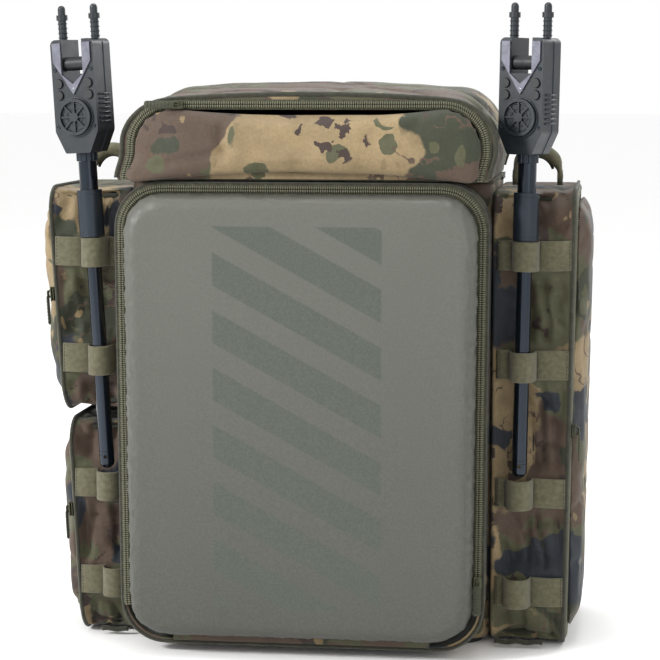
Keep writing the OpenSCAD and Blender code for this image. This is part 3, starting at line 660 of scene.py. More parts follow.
def zip_side(geo, path, inward, up, side, lift):
    """Half a zip along a slit: woven tape, its stitched edge and a row of coil teeth.
    side is +1 for the half that lies inward of the slit and -1 for the outer half."""
    path = even(path, 3.0)
    inward = resample(inward, len(path))
    up = np.array(up, float)
    near, far = side * ZIP_SLIT / 2, side * (ZIP_SLIT / 2 + ZIP_TAPE)
    lo, hi = min(near, far), max(near, far)
    flat = [(lo, 0), (hi, 0), (hi, TAPE_T * 0.7), ((lo + hi) / 2, TAPE_T), (lo, TAPE_T * 0.7)]
    geo.sweep(path + up * lift, inward, up, flat, 0)
    hump = [(side * 0.12, 0.5), (side * 0.12, TAPE_T + 0.85), (side * 1.3, TAPE_T + 0.7),
            (side * 2.4, TAPE_T + 0.3), (side * 3.1, TAPE_T * 0.6)]
    geo.sweep(path + up * lift, inward, up, hump, 2)
    teeth = even(path, TOOTH_PITCH)
    inner = resample(inward, len(teeth))
    geo.bricks(teeth + inner * (side * 1.62) + up * (lift + TAPE_T + 0.55), inner + up * (-side * TOOTH_TILT),
               along(teeth), up - inner * (side * TOOTH_TILT), TOOTH, 1, 0.8)
    edge = even(path, 4.2)
    inner = resample(inward, len(edge), unit=False)
    geo.bricks(edge + inner * (side * (ZIP_TAPE - 0.5)) + up * (lift + TAPE_T * 0.8), along(edge), inner, up,
               ZIP_STITCH, 2)


def clip_u(ring, keep):
    """The run of a closed ring where keep is true, as an open path."""
    flags = keep(ring)
    n = len(ring)
    start = next(i for i in range(n) if flags[i] and not flags[i - 1])
    out = []
    i = start
    while flags[i % n] and len(out) < n:
        out.append(ring[i % n])
        i += 1
    return np.array(out)


def inward_of(path2):
    """Unit normals in the plane that point to the middle of the path's outline."""
    t = np.gradient(path2, axis=0)
    t /= np.linalg.norm(t, axis=1)[:, None] + 1e-9
    n = np.column_stack([-t[:, 1], t[:, 0]])
    middle = path2.mean(axis=0)
    flip = np.sign(np.sum(n * (middle - path2)))
    return n * flip


def stitches(geo, path, across, up, mat, length=2.6, pitch=4.0, wide=0.55, high=0.5):
    path = even(path, pitch)
    geo.bricks(path, along(path), np.broadcast_to(across, path.shape), np.broadcast_to(up, path.shape),
               (length, wide, high), mat)


# ---------------------------------------------------------------- main body
def pack_body():
    o = Outline(box_fn(BODY_LO[0], BODY_LO[1], BODY_HI[0], BODY_HI[1], 18), 9)
    z0 = BODY_LO[2]
    rings = [xy(o.ring(m), z)
             for m, z in ((60, z0), (40, z0), (20, z0), (8, z0), (3, z0 + 1.5), (0.8, z0 + 5),
                                           (0, z0 + 10))]
    rings += [xy(o.ring(0), z) for z in np.linspace(z0 + 16, PACK_H - 3, 50)]
    rings += [xy(o.ring(0.8), PACK_H - 0.4), xy(o.ring(WALL - 0.8), PACK_H - 0.4)]
    inner = len(rings)
    rings += [xy(o.ring(WALL), z) for z in np.linspace(PACK_H - 3, z0 + 6, 14)]
    rings += [xy(o.ring(m), z0 + 3) for m in (8, 20, 40, 60)]
    g = Geo()
    mats = [0] * (inner - 1) + [1] * (len(rings) - inner)
    g.rings(rings, cap0=True, cap1=True, mats=mats)
    obj = g.build("pack_body", [CAMO_SIDE, LINING])

    def folds(p, n):
        open_side = smooth(p[:, 1], 92, 102) * (1 - smooth(np.abs(n[:, 2]), 0.5, 0.9))
        rise = smooth(p[:, 2], 8, 40) * (1 - smooth(p[:, 2], PACK_H - 20, PACK_H - 6))
        d = 1.4 * fbm(p / [34, 30, 46], 3) - 1.6 * ridges(p / [26, 26, 60], 9) ** 3
        out = (d * open_side * rise)[:, None] * n
        wave = (fbm(p / [60, 60, 40], 21) * 1.2 - 0.4) * rise * (1 - open_side)
        return out - np.abs(wave)[:, None] * n * (np.abs(n[:, 2]) < 0.5)[:, None]
    push(obj, folds)
    finish_piece(obj, "pack", ["main_body"])
    g = Geo()
    rim = clip_u(o.ring(-0.4), lambda r: r[:, 1] > 60)
    g.tube(even(xy(rim, PACK_H - 1.6), 6), 1.5, 0)
    back = xy(clip_u(o.ring(0.2), lambda r: r[:, 1] > 92), z0 + 7)
    g.tube(even(back, 6), 1.8, 0)
    g.build("pack_seams", [BINDING], "pack", slot="webbing")


def feet():
    """Moulded base with ribs."""
    lo, hi = span("base_panel")
    o = Outline(box_fn(lo[0], lo[1], hi[0], hi[1], 24), 9)
    g = Geo()
    rings = [xy(o.ring(m), z) for m, z in ((0, hi[2]), (0, lo[2] + 1.6), (1.2, lo[2] + 0.4), (5, lo[2] + 0.3),
                                           (9, lo[2] + 1.2), (30, lo[2] + 1.2))]
    g.rings(rings, cap0=True, cap1=True)
    for x in np.linspace(lo[0] + 40, hi[0] - 40, 9):
        path = np.array([(x, y, lo[2] + 1.2) for y in np.linspace(lo[1] + 22, hi[1] - 22, 30)])
        g.sweep(path, (1, 0, 0), (0, 0, -1), [(-4, -0.5), (4, -0.5), (2.6, 1.2), (-2.6, 1.2)])
    g.build("base_skin", [RUBBER], "pack", ["base_panel"], "base_rubber")


# ---------------------------------------------------------------- front pocket and door
FRONT_OUT = Outline(front_fn, 6)


def front_pocket():
    g = Geo()
    r = FRONT_OUT
    rings = [xz(r.ring(m), FRONT) for m in (90, 60, 30, 12, 4)]
    rings += [xz(r.ring(1.2), FRONT - 0.8), xz(r.ring(0), FRONT - 3)]
    rings += [xz(r.ring(0), y) for y in np.linspace(FRONT - 7, MOUTH + 3, 12)]
    rings += [xz(r.ring(0.8), MOUTH + 0.6), xz(r.ring(WALL - 0.6), MOUTH + 0.4)]
    inner = len(rings)
    rings += [xz(r.ring(WALL), y) for y in np.linspace(MOUTH + 4, FRONT - 3, 8)]
    rings += [xz(r.ring(m), FRONT - 2) for m in (8, 30, 60, 90)]
    g.rings(rings, cap0=True, cap1=True, mats=[0] * (inner - 1) + [1] * (len(rings) - inner))
    obj = g.build("front_pocket_body", [CAMO, LINING])

    def folds(p, n):
        side = 1 - smooth(np.abs(n[:, 1]), 0.4, 0.8)
        mid = smooth(p[:, 1], MOUTH + 2, MOUTH + 14) * (1 - smooth(p[:, 1], FRONT - 10, FRONT - 2))
        slant = np.column_stack([p[:, 0] * 0.02, (p[:, 1] * 1.3 + p[:, 2] * 0.55) / 15, p[:, 2] / 70])
        d = 4.6 + 2.6 * ridges(slant, 31) ** 2 + 1.5 * fbm(p / 22, 5)
        radial = np.column_stack([p[:, 0] * 0 + np.sign(p[:, 0]), p[:, 0] * 0, p[:, 0] * 0])
        wall = smooth(np.abs(n[:, 0]), 0.3, 0.9)
        return -(d * side * mid * wall)[:, None] * radial * 0.9
    push(obj, folds)
    finish_piece(obj, "pack", ["front_pocket"])
    g = Geo()
    g.tube(even(xz(r.ring(0.2), MOUTH + 0.6), 5, closed=True)[:-1], 1.7, 0, closed=True, up=(0, 1, 0))
    g.build("front_pocket_piping", [BINDING], "pack", slot="webbing")
    for name, side, body, node, y in (("front_zip_fixed", -1, "pack", "front_zip_tape", MOUTH),
                                      ("front_zip_moving", 1, "door", "front_door_zip", MOUTH - GAP)):
        line = clip_u(r.ring(ZIP_LINE), lambda q: q[:, 1] > HINGE_Z + 4)
        g = Geo()
        inward = inward_of(line)
        zip_side(g, xz(line, y), xz(inward, 0), (0, -1, 0), side, 0.05)
        g.build(name, [TAPE, COIL, THREAD], body, [node], "zip_tape")


def front_door():
    """The moulded door: a rounded shell with a lined hollow inside."""
    r = FRONT_OUT
    y0, y1 = DOOR_HI[1], DOOR_LO[1]
    crown = y0 - y1
    g = Geo()
    rings, lo_m = [], ZIP_BAND
    a = np.linspace(0, math.pi / 2, 11)
    for t in a:
        m = lo_m + 12.5 * (1 - math.cos(t)) ** 1.05 - 0.5 * math.sin(2 * t)
        rings.append(xz(r.ring(m), y0 - 1 - (crown - 2.6) * math.sin(t) ** 0.85))
    for m in (25, 30, 37, 46, 58, 72, 88, 104, 120, 134):
        rings.append(xz(r.ring(m), y1 + 1.6 - 1.4 * smooth(m, 26, 110)))
    outer = len(rings)
    rings.reverse()
    rings += [xz(r.ring(lo_m + 1.4), y0 + 0.0), xz(r.ring(lo_m + 4.5), y0 - 0.2)]
    inner = [xz(r.ring(m), y) for m, y in ((lo_m + 5, y0 - 3), (lo_m + 8, y0 - 9), (lo_m + 14, y0 - 15),
                                           (lo_m + 22, y1 + 5.6), (60, y1 + 5.2), (100, y1 + 5),
                                           (138, y1 + 5))]
    rings += inner
    g.rings(rings, cap0=True, cap1=True, mats=[0] * (outer + 1) + [1] * len(inner))
    obj = g.build("door_shell", [DOOR, LINING])

    def pucker(p, n):
        front = smooth(-p[:, 1], -y0 + 2, -y0 + 6)
        rim = front * (1 - smooth(-p[:, 1], -y1 - 3.0, -y1 - 0.8))
        x, z = p[:, 0], p[:, 2]
        round_corner = smooth(np.hypot(np.maximum(np.abs(x) - 105, 0), np.maximum(np.abs(z - 210) - 160, 0)),
                              18, 40)
        small = fbm(p / [5, 9, 5], 41) * 0.55 + ridges(p / [7, 20, 7], 47) ** 4 * 0.8
        face = front * smooth(-p[:, 1], -y1 - 2.4, -y1 - 0.6)
        big = 0.75 * fbm(p / [90, 90, 90], 51) + 0.2 * fbm(p / [24, 30, 30], 53)
        return (rim * (0.35 + 1.2 * round_corner) * small + face * big * 0.9)[:, None] * n
    subdivide(obj)
    push(obj, pucker)
    finish_piece(obj, "door", ["front_door"])
    g = Geo()
    g.tube(even(xz(r.ring(lo_m + 0.4), y0 - 0.9), 5, closed=True)[:-1], 1.1, 0, closed=True, up=(0, 1, 0))
    pocket = Outline(box_fn(-110, 60, 110, 250, 16), 10)
    g.sweep(even(xz(pocket.ring(0), y1 + 5.9), 8, closed=True)[:-1], (0, 1, 0), (0, 0, 0.01),
            [(0, 0), (0.8, 0), (0.4, 1)],
            0, closed=True)
    g.build("door_binding", [BINDING], "door", slot="webbing")
    inside = Geo()
    o = Outline(box_fn(-112, 62, 112, 248, 14), 9)
    inside.rings([xz(o.ring(m), y) for m, y in ((0, y1 + 5.4), (1, y1 + 7.4), (4, y1 + 8.2), (30, y1 + 8.6),
                                                (70, y1 + 8.8))], cap0=True, cap1=True)
    inside.build("door_net_pocket", [MESH], "door", slot="camo_fabric")


# ---------------------------------------------------------------- side pockets
class Side:
    """One side pocket: its sizes, its door's frame and its outlines."""

    def __init__(self, name, body, sign, x_low, x_high):
        lo, hi = span(name + "_pocket")
        self.name, self.body, self.sign = name, body, sign
        self.z0, self.z1, self.y0, self.y1 = lo[2], hi[2], lo[1], hi[1]
        self.xl, self.xh = x_low, x_high
        self.x_in = HALF + GAP
        self.length = math.hypot(x_high - x_low, self.z1 - self.z0)
        self.tilt = math.atan((x_high - x_low) / (self.z1 - self.z0))

    def outer(self, z):
        return self.xl + (self.xh - self.xl) * (np.asarray(z) - self.z0) / (self.z1 - self.z0)

    def fn(self, back=0.0):
        def outline(m):
            return ([(self.y0 + m, m), (self.y1 - back, m), (self.y1 - back, self.length - m),
                     (self.y0 + m, self.length - m)], [24 - m * 0.6, 3, 3, 24 - m * 0.6])
        return outline

    def world(self, x, ring):
        """Local points (out of the pocket, depth, up the face) in the row frame."""
        x = np.broadcast_to(x, len(ring))
        c, s = math.cos(self.tilt), math.sin(self.tilt)
        return np.column_stack([self.sign * (self.xl + x * c + ring[:, 1] * s), ring[:, 0],
                                self.z0 - x * s + ring[:, 1] * c])

    def direction(self, v):
        c, s = math.cos(self.tilt), math.sin(self.tilt)
        return np.array([self.sign * (v[0] * c + v[2] * s), v[1], -v[0] * s + v[2] * c])


RIGHT = Side("right", "right_panel", 1, HALF + 65, HALF + 71)
UPPER = Side("left_upper", "left_upper_panel", -1, HALF + 60, HALF + 72)
LOWER = Side("left_lower", "left_lower_panel", -1, HALF + 46, HALF + 56)
STRIP_Z = [PACK_H - 62, PACK_H - 157, 139, 52]
STRIP_H = 26.0
STICK_Y, STICK_Z = -86.3, STRIP_Z[0] + STRIP_H / 2 + 1
STICKS = {"left": (-HALF - 30, -3.15), "right": (HALF + 29, 0.95)}


def stick_x(side, z):
    x, lean = STICKS[side]
    return x + (z - STICK_Z) * math.tan(math.radians(lean))


def side_pocket(s, mat, seed):
    o = Outline(s.fn(), 5.5)
    g = Geo()

    def ring(m, f):
        """Fraction f of the way from the inner wall to the rim, drawn in by m."""
        q = o.ring(m)
        face = s.world(0, q)
        x_in = s.sign * s.x_in
        return np.column_stack([x_in + (face[:, 0] - x_in) * f, face[:, 1], face[:, 2]])
    steps = np.linspace(0, 1, 14)
    rings = [ring(m, 0.0) for m in (60, 36, 16, 6)] + [ring(1.5, 0.01), ring(0.3, 0.03)]
    rings += [ring(0, f) for f in steps[1:-1]]
    rings += [ring(0.4, 0.985), ring(1.4, 1.0), ring(3.2, 0.998)]
    inner = len(rings)
    rings += [ring(3.6, f) for f in np.linspace(0.96, 0.06, 7)] + [ring(m, 0.035) for m in (8, 20, 40, 60)]
    g.rings(rings, cap0=True, cap1=True, mats=[0] * (inner - 1) + [1] * (len(rings) - inner))
    obj = g.build(s.name + "_pocket_body", [mat, LINING])
    side = "right" if s.sign > 0 else "left"

    def folds(p, n):
        ax = np.abs(p[:, 0])
        share = np.clip((ax - s.x_in) / np.maximum(s.outer(p[:, 2]) - s.x_in, 1), 0, 1)
        across = smooth(share, 0.02, 0.22) * (1 - smooth(share, 0.84, 0.98))
        front = smooth(-p[:, 1], -s.y0 - 16, -s.y0 - 6)
        held = np.zeros(len(p))
        for z in STRIP_Z:
            held = np.maximum(held, 1 - smooth(np.abs(p[:, 2] - z), STRIP_H / 2 - 2, STRIP_H / 2 + 16))
        free = 1 - held
        x0 = stick_x(side, p[:, 2])
        wander = 0.5 * fbm(p * [1, 0, 1] / 40, seed + 7)
        pleat = np.column_stack([(p[:, 0] - x0) / 13 + wander, p[:, 1] * 0, p[:, 2] / 62])
        deep = ridges(pleat, seed, 2) ** 1.6
        crush = np.column_stack([p[:, 0] / 20 + p[:, 2] / 34, p[:, 1] * 0, p[:, 2] / 24])
        crush = ridges(crush, seed + 3, 2) ** 2.5
        trough = np.exp(-((p[:, 0] - x0) / 17.0) ** 2)
        flat = p * [1, 0, 1]
        dy = (free * (2.5 + 8.0 * deep + 5.0 * crush + 5.0 * trough + 2.4 * fbm(flat / 18, seed + 5))
              + held * (0.8 + 1.6 * ridges(np.column_stack([p[:, 0] / 6, p[:, 1] * 0, p[:, 2] / 40]),
                                           seed + 9)))
        dy -= free * 1.6 * np.exp(-((share - 0.80) / 0.12) ** 2)
        out = np.zeros_like(p)
        out[:, 1] = np.clip(dy, -1.6, 15) * front * across
        level = p * [1, 1, 0]
        sag = across * (1.0 + 2.4 * ridges(level / [16, 30, 20], seed + 11) ** 2
                        + 1.6 * fbm(level / 24, seed + 12))
        end = smooth(p[:, 2], s.z1 - 9, s.z1 - 4.5) - smooth(-p[:, 2], -s.z0 - 9, -s.z0 - 4.5)
        out[:, 2] = -end * sag * smooth(p[:, 1], s.y0, s.y0 + 20) * (1 - smooth(p[:, 1], s.y1 - 18, s.y1 - 6))
        upright = p * [1, 0, 1]
        rear = across * smooth(p[:, 1], s.y1 - 9, s.y1 - 4.5) * smooth(p[:, 2], s.z0 + 4, s.z0 + 18) \
            * (1 - smooth(p[:, 2], s.z1 - 18, s.z1 - 4))
        out[:, 1] -= rear * (1.4 + 3.0 * ridges(upright / [18, 1, 44], seed + 15) ** 2
                             + 1.2 * fbm(upright / 26, seed + 16))
        return out
    subdivide(obj)
    push(obj, folds)
    finish_piece(obj, "pack", [s.name + "_pocket"])
    g = Geo()
    rim = clip_u(o.ring(-0.2), lambda q: q[:, 0] < s.y1 - 2)
    g.tube(even(s.world(-0.6, rim), 5), 1.7, 0, up=(s.sign, 0, 0))
    hem = [(s.sign * x, s.y0 + 0.6, z + 0.6 * math.sin(x * 0.35))
           for x in np.linspace(s.x_in + 4, float(s.outer(s.z0 + 5)) - 18, 14)
           for z in (s.z0 + 2.4,)]
    if s.name != "left_upper":
        g.tube(np.array(hem), 2.2, 0, up=(0, 1, 0))
    g.build(s.name + "_pocket_piping", [BINDING], "pack", slot="webbing")


# Cloth left on the moving tape, which runs in under the stuffed panel's edge
SEAM_ALLOWANCE = [(ZIP_TAPE - 0.4, 0.1), (ZIP_TAPE + 10, 0.1), (ZIP_TAPE + 10, 0.7), (ZIP_TAPE - 0.4, 0.7)]


def side_zips():
    fixed = Geo()
    for s in (RIGHT, UPPER, LOWER):
        o = Outline(s.fn(-6), 5)
        line = clip_u(o.ring(ZIP_LINE), lambda q: q[:, 0] < s.y1 - 8)
        inward = inward_of(line)
        out = s.direction((1, 0, 0))
        for side, lift, tag in ((-1, 0.05, "fixed"), (1, 0.05 + GAP, "moving")):
            g = fixed if tag == "fixed" else Geo()
            inn = np.array([s.direction((0, v[0], v[1])) for v in inward])
            zip_side(g, s.world(0, line), inn, out, side, lift)
            if tag == "moving":
                g.sweep(s.world(0, line) + out * lift, inn, out, SEAM_ALLOWANCE, 0)
                side_door(s, g)
    fixed.build("side_zips_fixed", [TAPE, COIL, THREAD], "pack", ["side_zip_tapes"], "zip_tape")


def side_door(s, zip_geo):
    """A stuffed fabric panel, blown up as cloth, with its half of the zip."""
    o = Outline(s.fn(2), 6)
    g = Geo()
    lift = 0.4
    shape = ((30, lift + 0.4), (12, lift + 0.2), (ZIP_BAND - 1.4, lift), (ZIP_BAND - 2.8, lift + 1.2),
             (ZIP_BAND - 2.0, lift + 3.2), (ZIP_BAND + 2.5, lift + 6.4), (ZIP_BAND + 10, lift + 8.6),
             (34, lift + 9.8),
             (50, lift + 10.2))
    g.rings([s.world(x, o.ring(m)) for m, x in shape], cap0=True, cap1=True)
    obj = g.build(s.name + "_door_panel", [CAMO_SIDE])
    puff(obj, 5.0, voxel=5.0, pressure=3.0)
    out = s.direction((1, 0, 0))
    seed = {"right": 61, "left_upper": 67, "left_lower": 71}[s.name]

    def folds(p, n):
        height = (p - s.world(0, np.array([[0.0, 0.0]]))[0]) @ out
        face = smooth(n @ out, 0.1, 0.7)
        edge = 1 - smooth(height, 3, 9)
        long_fold = ridges(np.column_stack([p[:, 0] * 0, p[:, 1] / 30 + p[:, 2] / 120, p[:, 2] / 90]),
                           seed) ** 3
        diag = ridges(np.column_stack([p[:, 0] * 0, p[:, 1] / 40 - p[:, 2] / 60, p[:, 2] / 50]),
                      seed + 2) ** 5
        tucks = ridges(p / [8, 11, 11], seed + 4) ** 2 * edge
        swell = 1.6 * fbm(p / 42, seed + 5) + 0.5 * fbm(p / 12, seed + 6)
        d = face * (-2.4 * long_fold - 2.2 * diag + swell) - 1.2 * tucks * face
        return d[:, None] * out[None]
    push(obj, folds)
    co = points(obj)
    base = s.world(0, np.array([[0.0, 0.0]]))[0]
    h = (co - base) @ out
    co += np.outer(np.where(h < lift, lift - h, 0) - np.maximum(h - 15.0, 0) * 0.7, out)
    write_points(obj, co)
    finish_piece(obj, s.body, [s.name + "_door"])
    g = zip_geo
    g.build(s.name + "_zip_moving", [TAPE, COIL, THREAD], s.body, slot="zip_tape")


# ---------------------------------------------------------------- fabric hinges
def hinge(name, path, across, up, reach, mat=CAMO_SIDE, bow=0.8):
    """A strip of cloth along a fold line, bowed a little across its width."""
    path = np.asarray(path, float)
    across, up = np.array(across, float), np.array(up, float)
    cols = np.linspace(-1, 1, 9)
    top = [(c * reach, bow * (1 - c * c) + 0.35) for c in cols]
    low = [(c * reach, bow * (1 - c * c) - 0.35) for c in cols[::-1]]
    g = Geo()
    g.sweep(even(path, 7), across, up, top + low, 0)
    obj = g.build(name, [mat])
    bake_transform(obj)


def hinges():
    for s in (RIGHT, UPPER, LOWER):
        y = s.y1 - 2.5
        line = s.world(0.9, np.array([(y, 7.0), (y, s.length - 7.0)]))
        hinge(s.name + "_door_hinge", line, (0, -1, 0), s.direction((1, 0, 0)), 6.0)
    z = Z0 + 7.5
    line = [(x, MOUTH - 0.9, z) for x in (-112, 112)]
    hinge("front_door_hinge", line, (0, 0, 1), (0, -1, 0), 5.5, CAMO)
    line = [(x, LID_HI[1] + 1.0, LID_BASE_LO[2] - 1.5) for x in (-HALF + 12, HALF - 12)]
    hinge("lid_hinge", line, (0, 0, 1), (0, 1, 0), 7.0, CAMO_LID)
    line = [(x, LID_LO[1] - 0.8, FLAP_Z0 + 0.5) for x in (-FLAP_HALF + 14, FLAP_HALF - 14)]
    hinge("flap_hinge", line, (0, 0, 1), (0, -1, 0), 3.0, CAMO_FLAP, 0.3)


# ---------------------------------------------------------------- lid
LID_SWAY = 5.5
CREST_Y = 20.0      # depth at which the lid is highest


def sway(obj):
    """The soft lid leans a little to its right."""
    def lean(p, n):
        out = np.zeros_like(p)
        out[:, 0] = LID_SWAY * smooth(p[:, 2], LID_BASE_LO[2] + 1, LID_BASE_LO[2] + 26)
        return out
    push(obj, lean)


def lid_top(y):
    """Height of the lid's top along its middle."""
    crest = LID_HI[2]
    front, back = LID_TOP + 1, LID_TOP - 12
    if y < CREST_Y:
        return front + (crest - front) * smooth(y, LID_LO[1], CREST_Y)
    return back + (crest - back) * (1 - smooth(y, CREST_Y, LID_HI[1]))


def lid():
    y0, y1 = LID_LO[1], LID_HI[1]
    g = Geo()
    fixed = Outline(lambda m: ([(-HALF + m, 0), (HALF - m, 0), (HALF - m, 80 - m), (-HALF + m, 80 - m)],
                               [3, 3, LID_R - m, LID_R - m]), 6)

    def section(y, m, sink=0.0):
        q = fixed.ring(m).copy()
        z0 = LID_BASE_LO[2] + 0.2
        top = lid_top(float(y)) - sink
        t = q[:, 1] / 80
        z = z0 + (top - 9 - z0) * t + 9 * (1 - (np.abs(q[:, 0]) / HALF) ** 2.2) * smooth(t, 0.55, 0.97)
        z = np.maximum(z, z0 + min(m, LID_FLOOR))
        return np.column_stack([q[:, 0], np.full(len(q), float(y)), z])

    win = ZIP_BAND + 3
    front = []
    for m, y in ((win, y0 + 4), (win - 0.6, y0 + 0.8), (win - 3, y0 + 0.2), (3, y0 + 0.2), (0.8, y0 + 1.4)):
        front.append(section(y, m))
    rings = front + [section(y, 0) for y in np.linspace(y0 + 5, y1 - 14, 44)]
    rings += [section(y1 - 9, 0.6, 2), section(y1 - 4, 3, 5), section(y1 - 1, 8, 9),
              section(y1, 14, 14), section(y1, 30, 24)]
    g.rings(rings, 0, cap1=True)
    inner = [section(y, LID_FLOOR, 5) for y in np.linspace(y0 + 9, y1 - 20, 12)]
    inner += [section(y1 - 8, 12, 14), section(y1 - 5, 24, 22)]
    g.rings([front[0]] + inner, 1, cap1=True)
    obj = g.build("lid_body", [CAMO_LID, LINING])
    subdivide(obj)

    def folds(p, n):
        up = smooth(n[:, 2], -0.2, 0.4)
        mid = smooth(p[:, 1], y0 + 4, y0 + 22) * smooth(p[:, 2], LID_BASE_HI[2] + 4, LID_BASE_HI[2] + 20)
        end = smooth(np.abs(n[:, 0]), 0.35, 0.8)
        big = 3.0 * fbm(p / [80, 60, 50], 81)
        wr = -2.6 * ridges(np.column_stack([p[:, 0] / 60 + p[:, 1] / 90, p[:, 1] / 30, p[:, 2] / 60]),
                           83) ** 4
        near = 1 - smooth(p[:, 1], y0 + 6, y0 + 40)
        tuck = -1.3 * near * ridges(np.column_stack([p[:, 0] / 13, p[:, 1] / 60, p[:, 2] / 13]), 87) ** 3
        slump = -3.4 * end * ridges(np.column_stack([p[:, 0] / 60, p[:, 1] / 26 + p[:, 2] / 40,
                                                     p[:, 2] / 30]), 91) ** 2
        return ((big + wr + tuck + slump) * mid * np.maximum(up, end))[:, None] * n
    push(obj, folds)
    sway(obj)
    finish_piece(obj, "lid", ["lid_pocket", "lid_base"])
    g = Geo()
    rim = section(y0 + 0.6, 0.3)
    keep = clip_u(np.column_stack([rim[:, 0], rim[:, 2]]), lambda q: q[:, 1] > LID_BASE_HI[2] - 1)
    g.tube(even(xz(keep, y0 + 0.8), 5), 2.1, 0, up=(0, 1, 0))
    back_seam = section(y1 - 13, -0.1, 0)
    keep = clip_u(np.column_stack([back_seam[:, 0], back_seam[:, 2]]), lambda q: q[:, 1] > LID_BASE_HI[2] + 2)
    g.tube(even(xz(keep, y1 - 13), 5), 1.5, 0, up=(0, 1, 0))
    obj = g.build("lid_piping", [BINDING])
    sway(obj)
    finish_piece(obj, "lid")


def flap_zips():
    o = Outline(flap_fn, 5)
    y = LID_LO[1]
    for name, side, body, node, yy in (("flap_zip_fixed", -1, "lid", None, y),
                                       ("flap_zip_moving", 1, "flap", "lid_flap_zip", y - GAP)):
        line = clip_u(o.ring(ZIP_TAPE + ZIP_SLIT / 2), lambda q: q[:, 1] > FLAP_Z0 + 2)
        ends = line[[0, -1]] * [1, 0] + [0, FLAP_Z0 - 3]
        line = np.vstack([ends[:1], line, ends[1:]])
        g = Geo()
        zip_side(g, xz(line, yy), xz(inward_of(line), 0), (0, -1, 0), side, 0.05)
        obj = g.build(name, [TAPE, COIL, THREAD])
        sway(obj)
        finish_piece(obj, body, [node] if node else ())


def main_zips():
    out = HALF + 1.5
    o = Outline(box_fn(-out, FRONT + 0.2, out, BACK + 30, 18), 6)
    for name, body, node, z in (("main_zip_fixed", "pack", "main_zip_tape", PACK_H),
                                ("main_zip_moving", "lid", "lid_zip_tapes", PACK_H + 1.6)):
        g = Geo()
        run = clip_u(o.ring(3.2), lambda q: q[:, 1] < LID_HI[1] - 9)
        path = even(xy(run, z), 5)
        tape = [(-3.1, 0.1), (3.2, 0.1), (3.2, 0.9), (-2.6, 1.1), (-3.2, 0.6)]
        g.sweep(path, xy(inward_of(path[:, :2]), 0), (0, 0, 1), tape, 0)
        teeth = even(path, 1.5)
        inner = xy(inward_of(teeth[:, :2]), 0)
        g.bricks(teeth - inner * 2.7 + np.array([0, 0, 0.6]), inner, along(teeth), (0, 0, 1),
                 (1.3, 0.85, 1.0), 1)
        g.build(name, [TAPE, COIL, THREAD], body, [node], "zip_tape")


def flap():
    """The lid's stuffed front flap, blown up as cloth and creased."""
    o = Outline(flap_fn, 6)
    y = LID_LO[1] - GAP
    m0 = 2 * ZIP_TAPE + ZIP_SLIT
    g = Geo()
    rings = [xz(o.ring(m), yy) for m, yy in ((34, y - 0.2), (18, y - 0.2), (m0 - 1.0, y), (m0 - 2.2, y - 1.8),
                                             (m0 - 1.6, y - 4), (m0 + 2.5, y - 6.8), (m0 + 8, y - 8.6),
                                             (24, y - 9.6), (31, y - 10))]
    g.rings(rings, cap0=True, cap1=True)
    obj = g.build("flap_panel", [CAMO_FLAP])
    puff(obj, 6.0, voxel=4.5, pressure=3.0)
    lo_z = FLAP_Z0

    def folds(p, n):
        x, z = p[:, 0], p[:, 2]
        face = smooth(-n[:, 1], 0.05, 0.6)
        height = smooth(z, lo_z + 2, lo_z + 24)
        out = np.zeros_like(p)
        d = 2.0 * fbm(p / [60, 60, 32], 101) + 0.5 * fbm(p / 12, 103)
        crease = np.exp(-((x + 70 + 0.10 * (z - 445)) / 6.0) ** 2)
        crease = crease * smooth(z, 420, 436) * (1 - smooth(z, 452, 466))
        d -= 4.2 * crease
        d += 2.2 * np.exp(-((x + 60) / 8.0) ** 2) * smooth(z, 422, 440) * (1 - smooth(z, 450, 464))
        dart = np.abs((z - 430) - 0.22 * (x + 100)) / 3.4
        d -= 4.0 * np.exp(-dart ** 2) * smooth(x, -148, -128) * (1 - smooth(x, -80, -50))
        bottom = 1 - smooth(z, lo_z, lo_z + 22)
        d += bottom * (2.0 + 1.4 * fbm(p / [30, 30, 30], 107))
        tuck = ridges(np.column_stack([x / 14, x * 0, z / 40]), 109) ** 3
        d -= 1.3 * tuck * bottom
        d -= 1.6 * ridges(np.column_stack([x / 60, x * 0, z / 22]), 113) ** 4 * smooth(x, 20, 90)
        out[:, 1] = -d * face * (0.25 + 0.75 * height)
        low = 1 - smooth(z, lo_z, lo_z + 13)
        corner = smooth(np.abs(x), FLAP_HALF - 30, FLAP_HALF - 9)
        droop = low * smooth(-p[:, 1], -y + 0.5, -y + 6)
        out[:, 2] = -droop * (6.8 + 1.2 * fbm(p / [50, 50, 50], 115) + 2.4 * corner)
        out[:, 0] = np.sign(x) * low * corner * 4.0
        return out
    push(obj, folds)
    sway(obj)
    co = points(obj)
    co[:, 1] = np.minimum(co[:, 1], y + 0.05)
    write_points(obj, co)
    finish_piece(obj, "flap", ["lid_flap"])


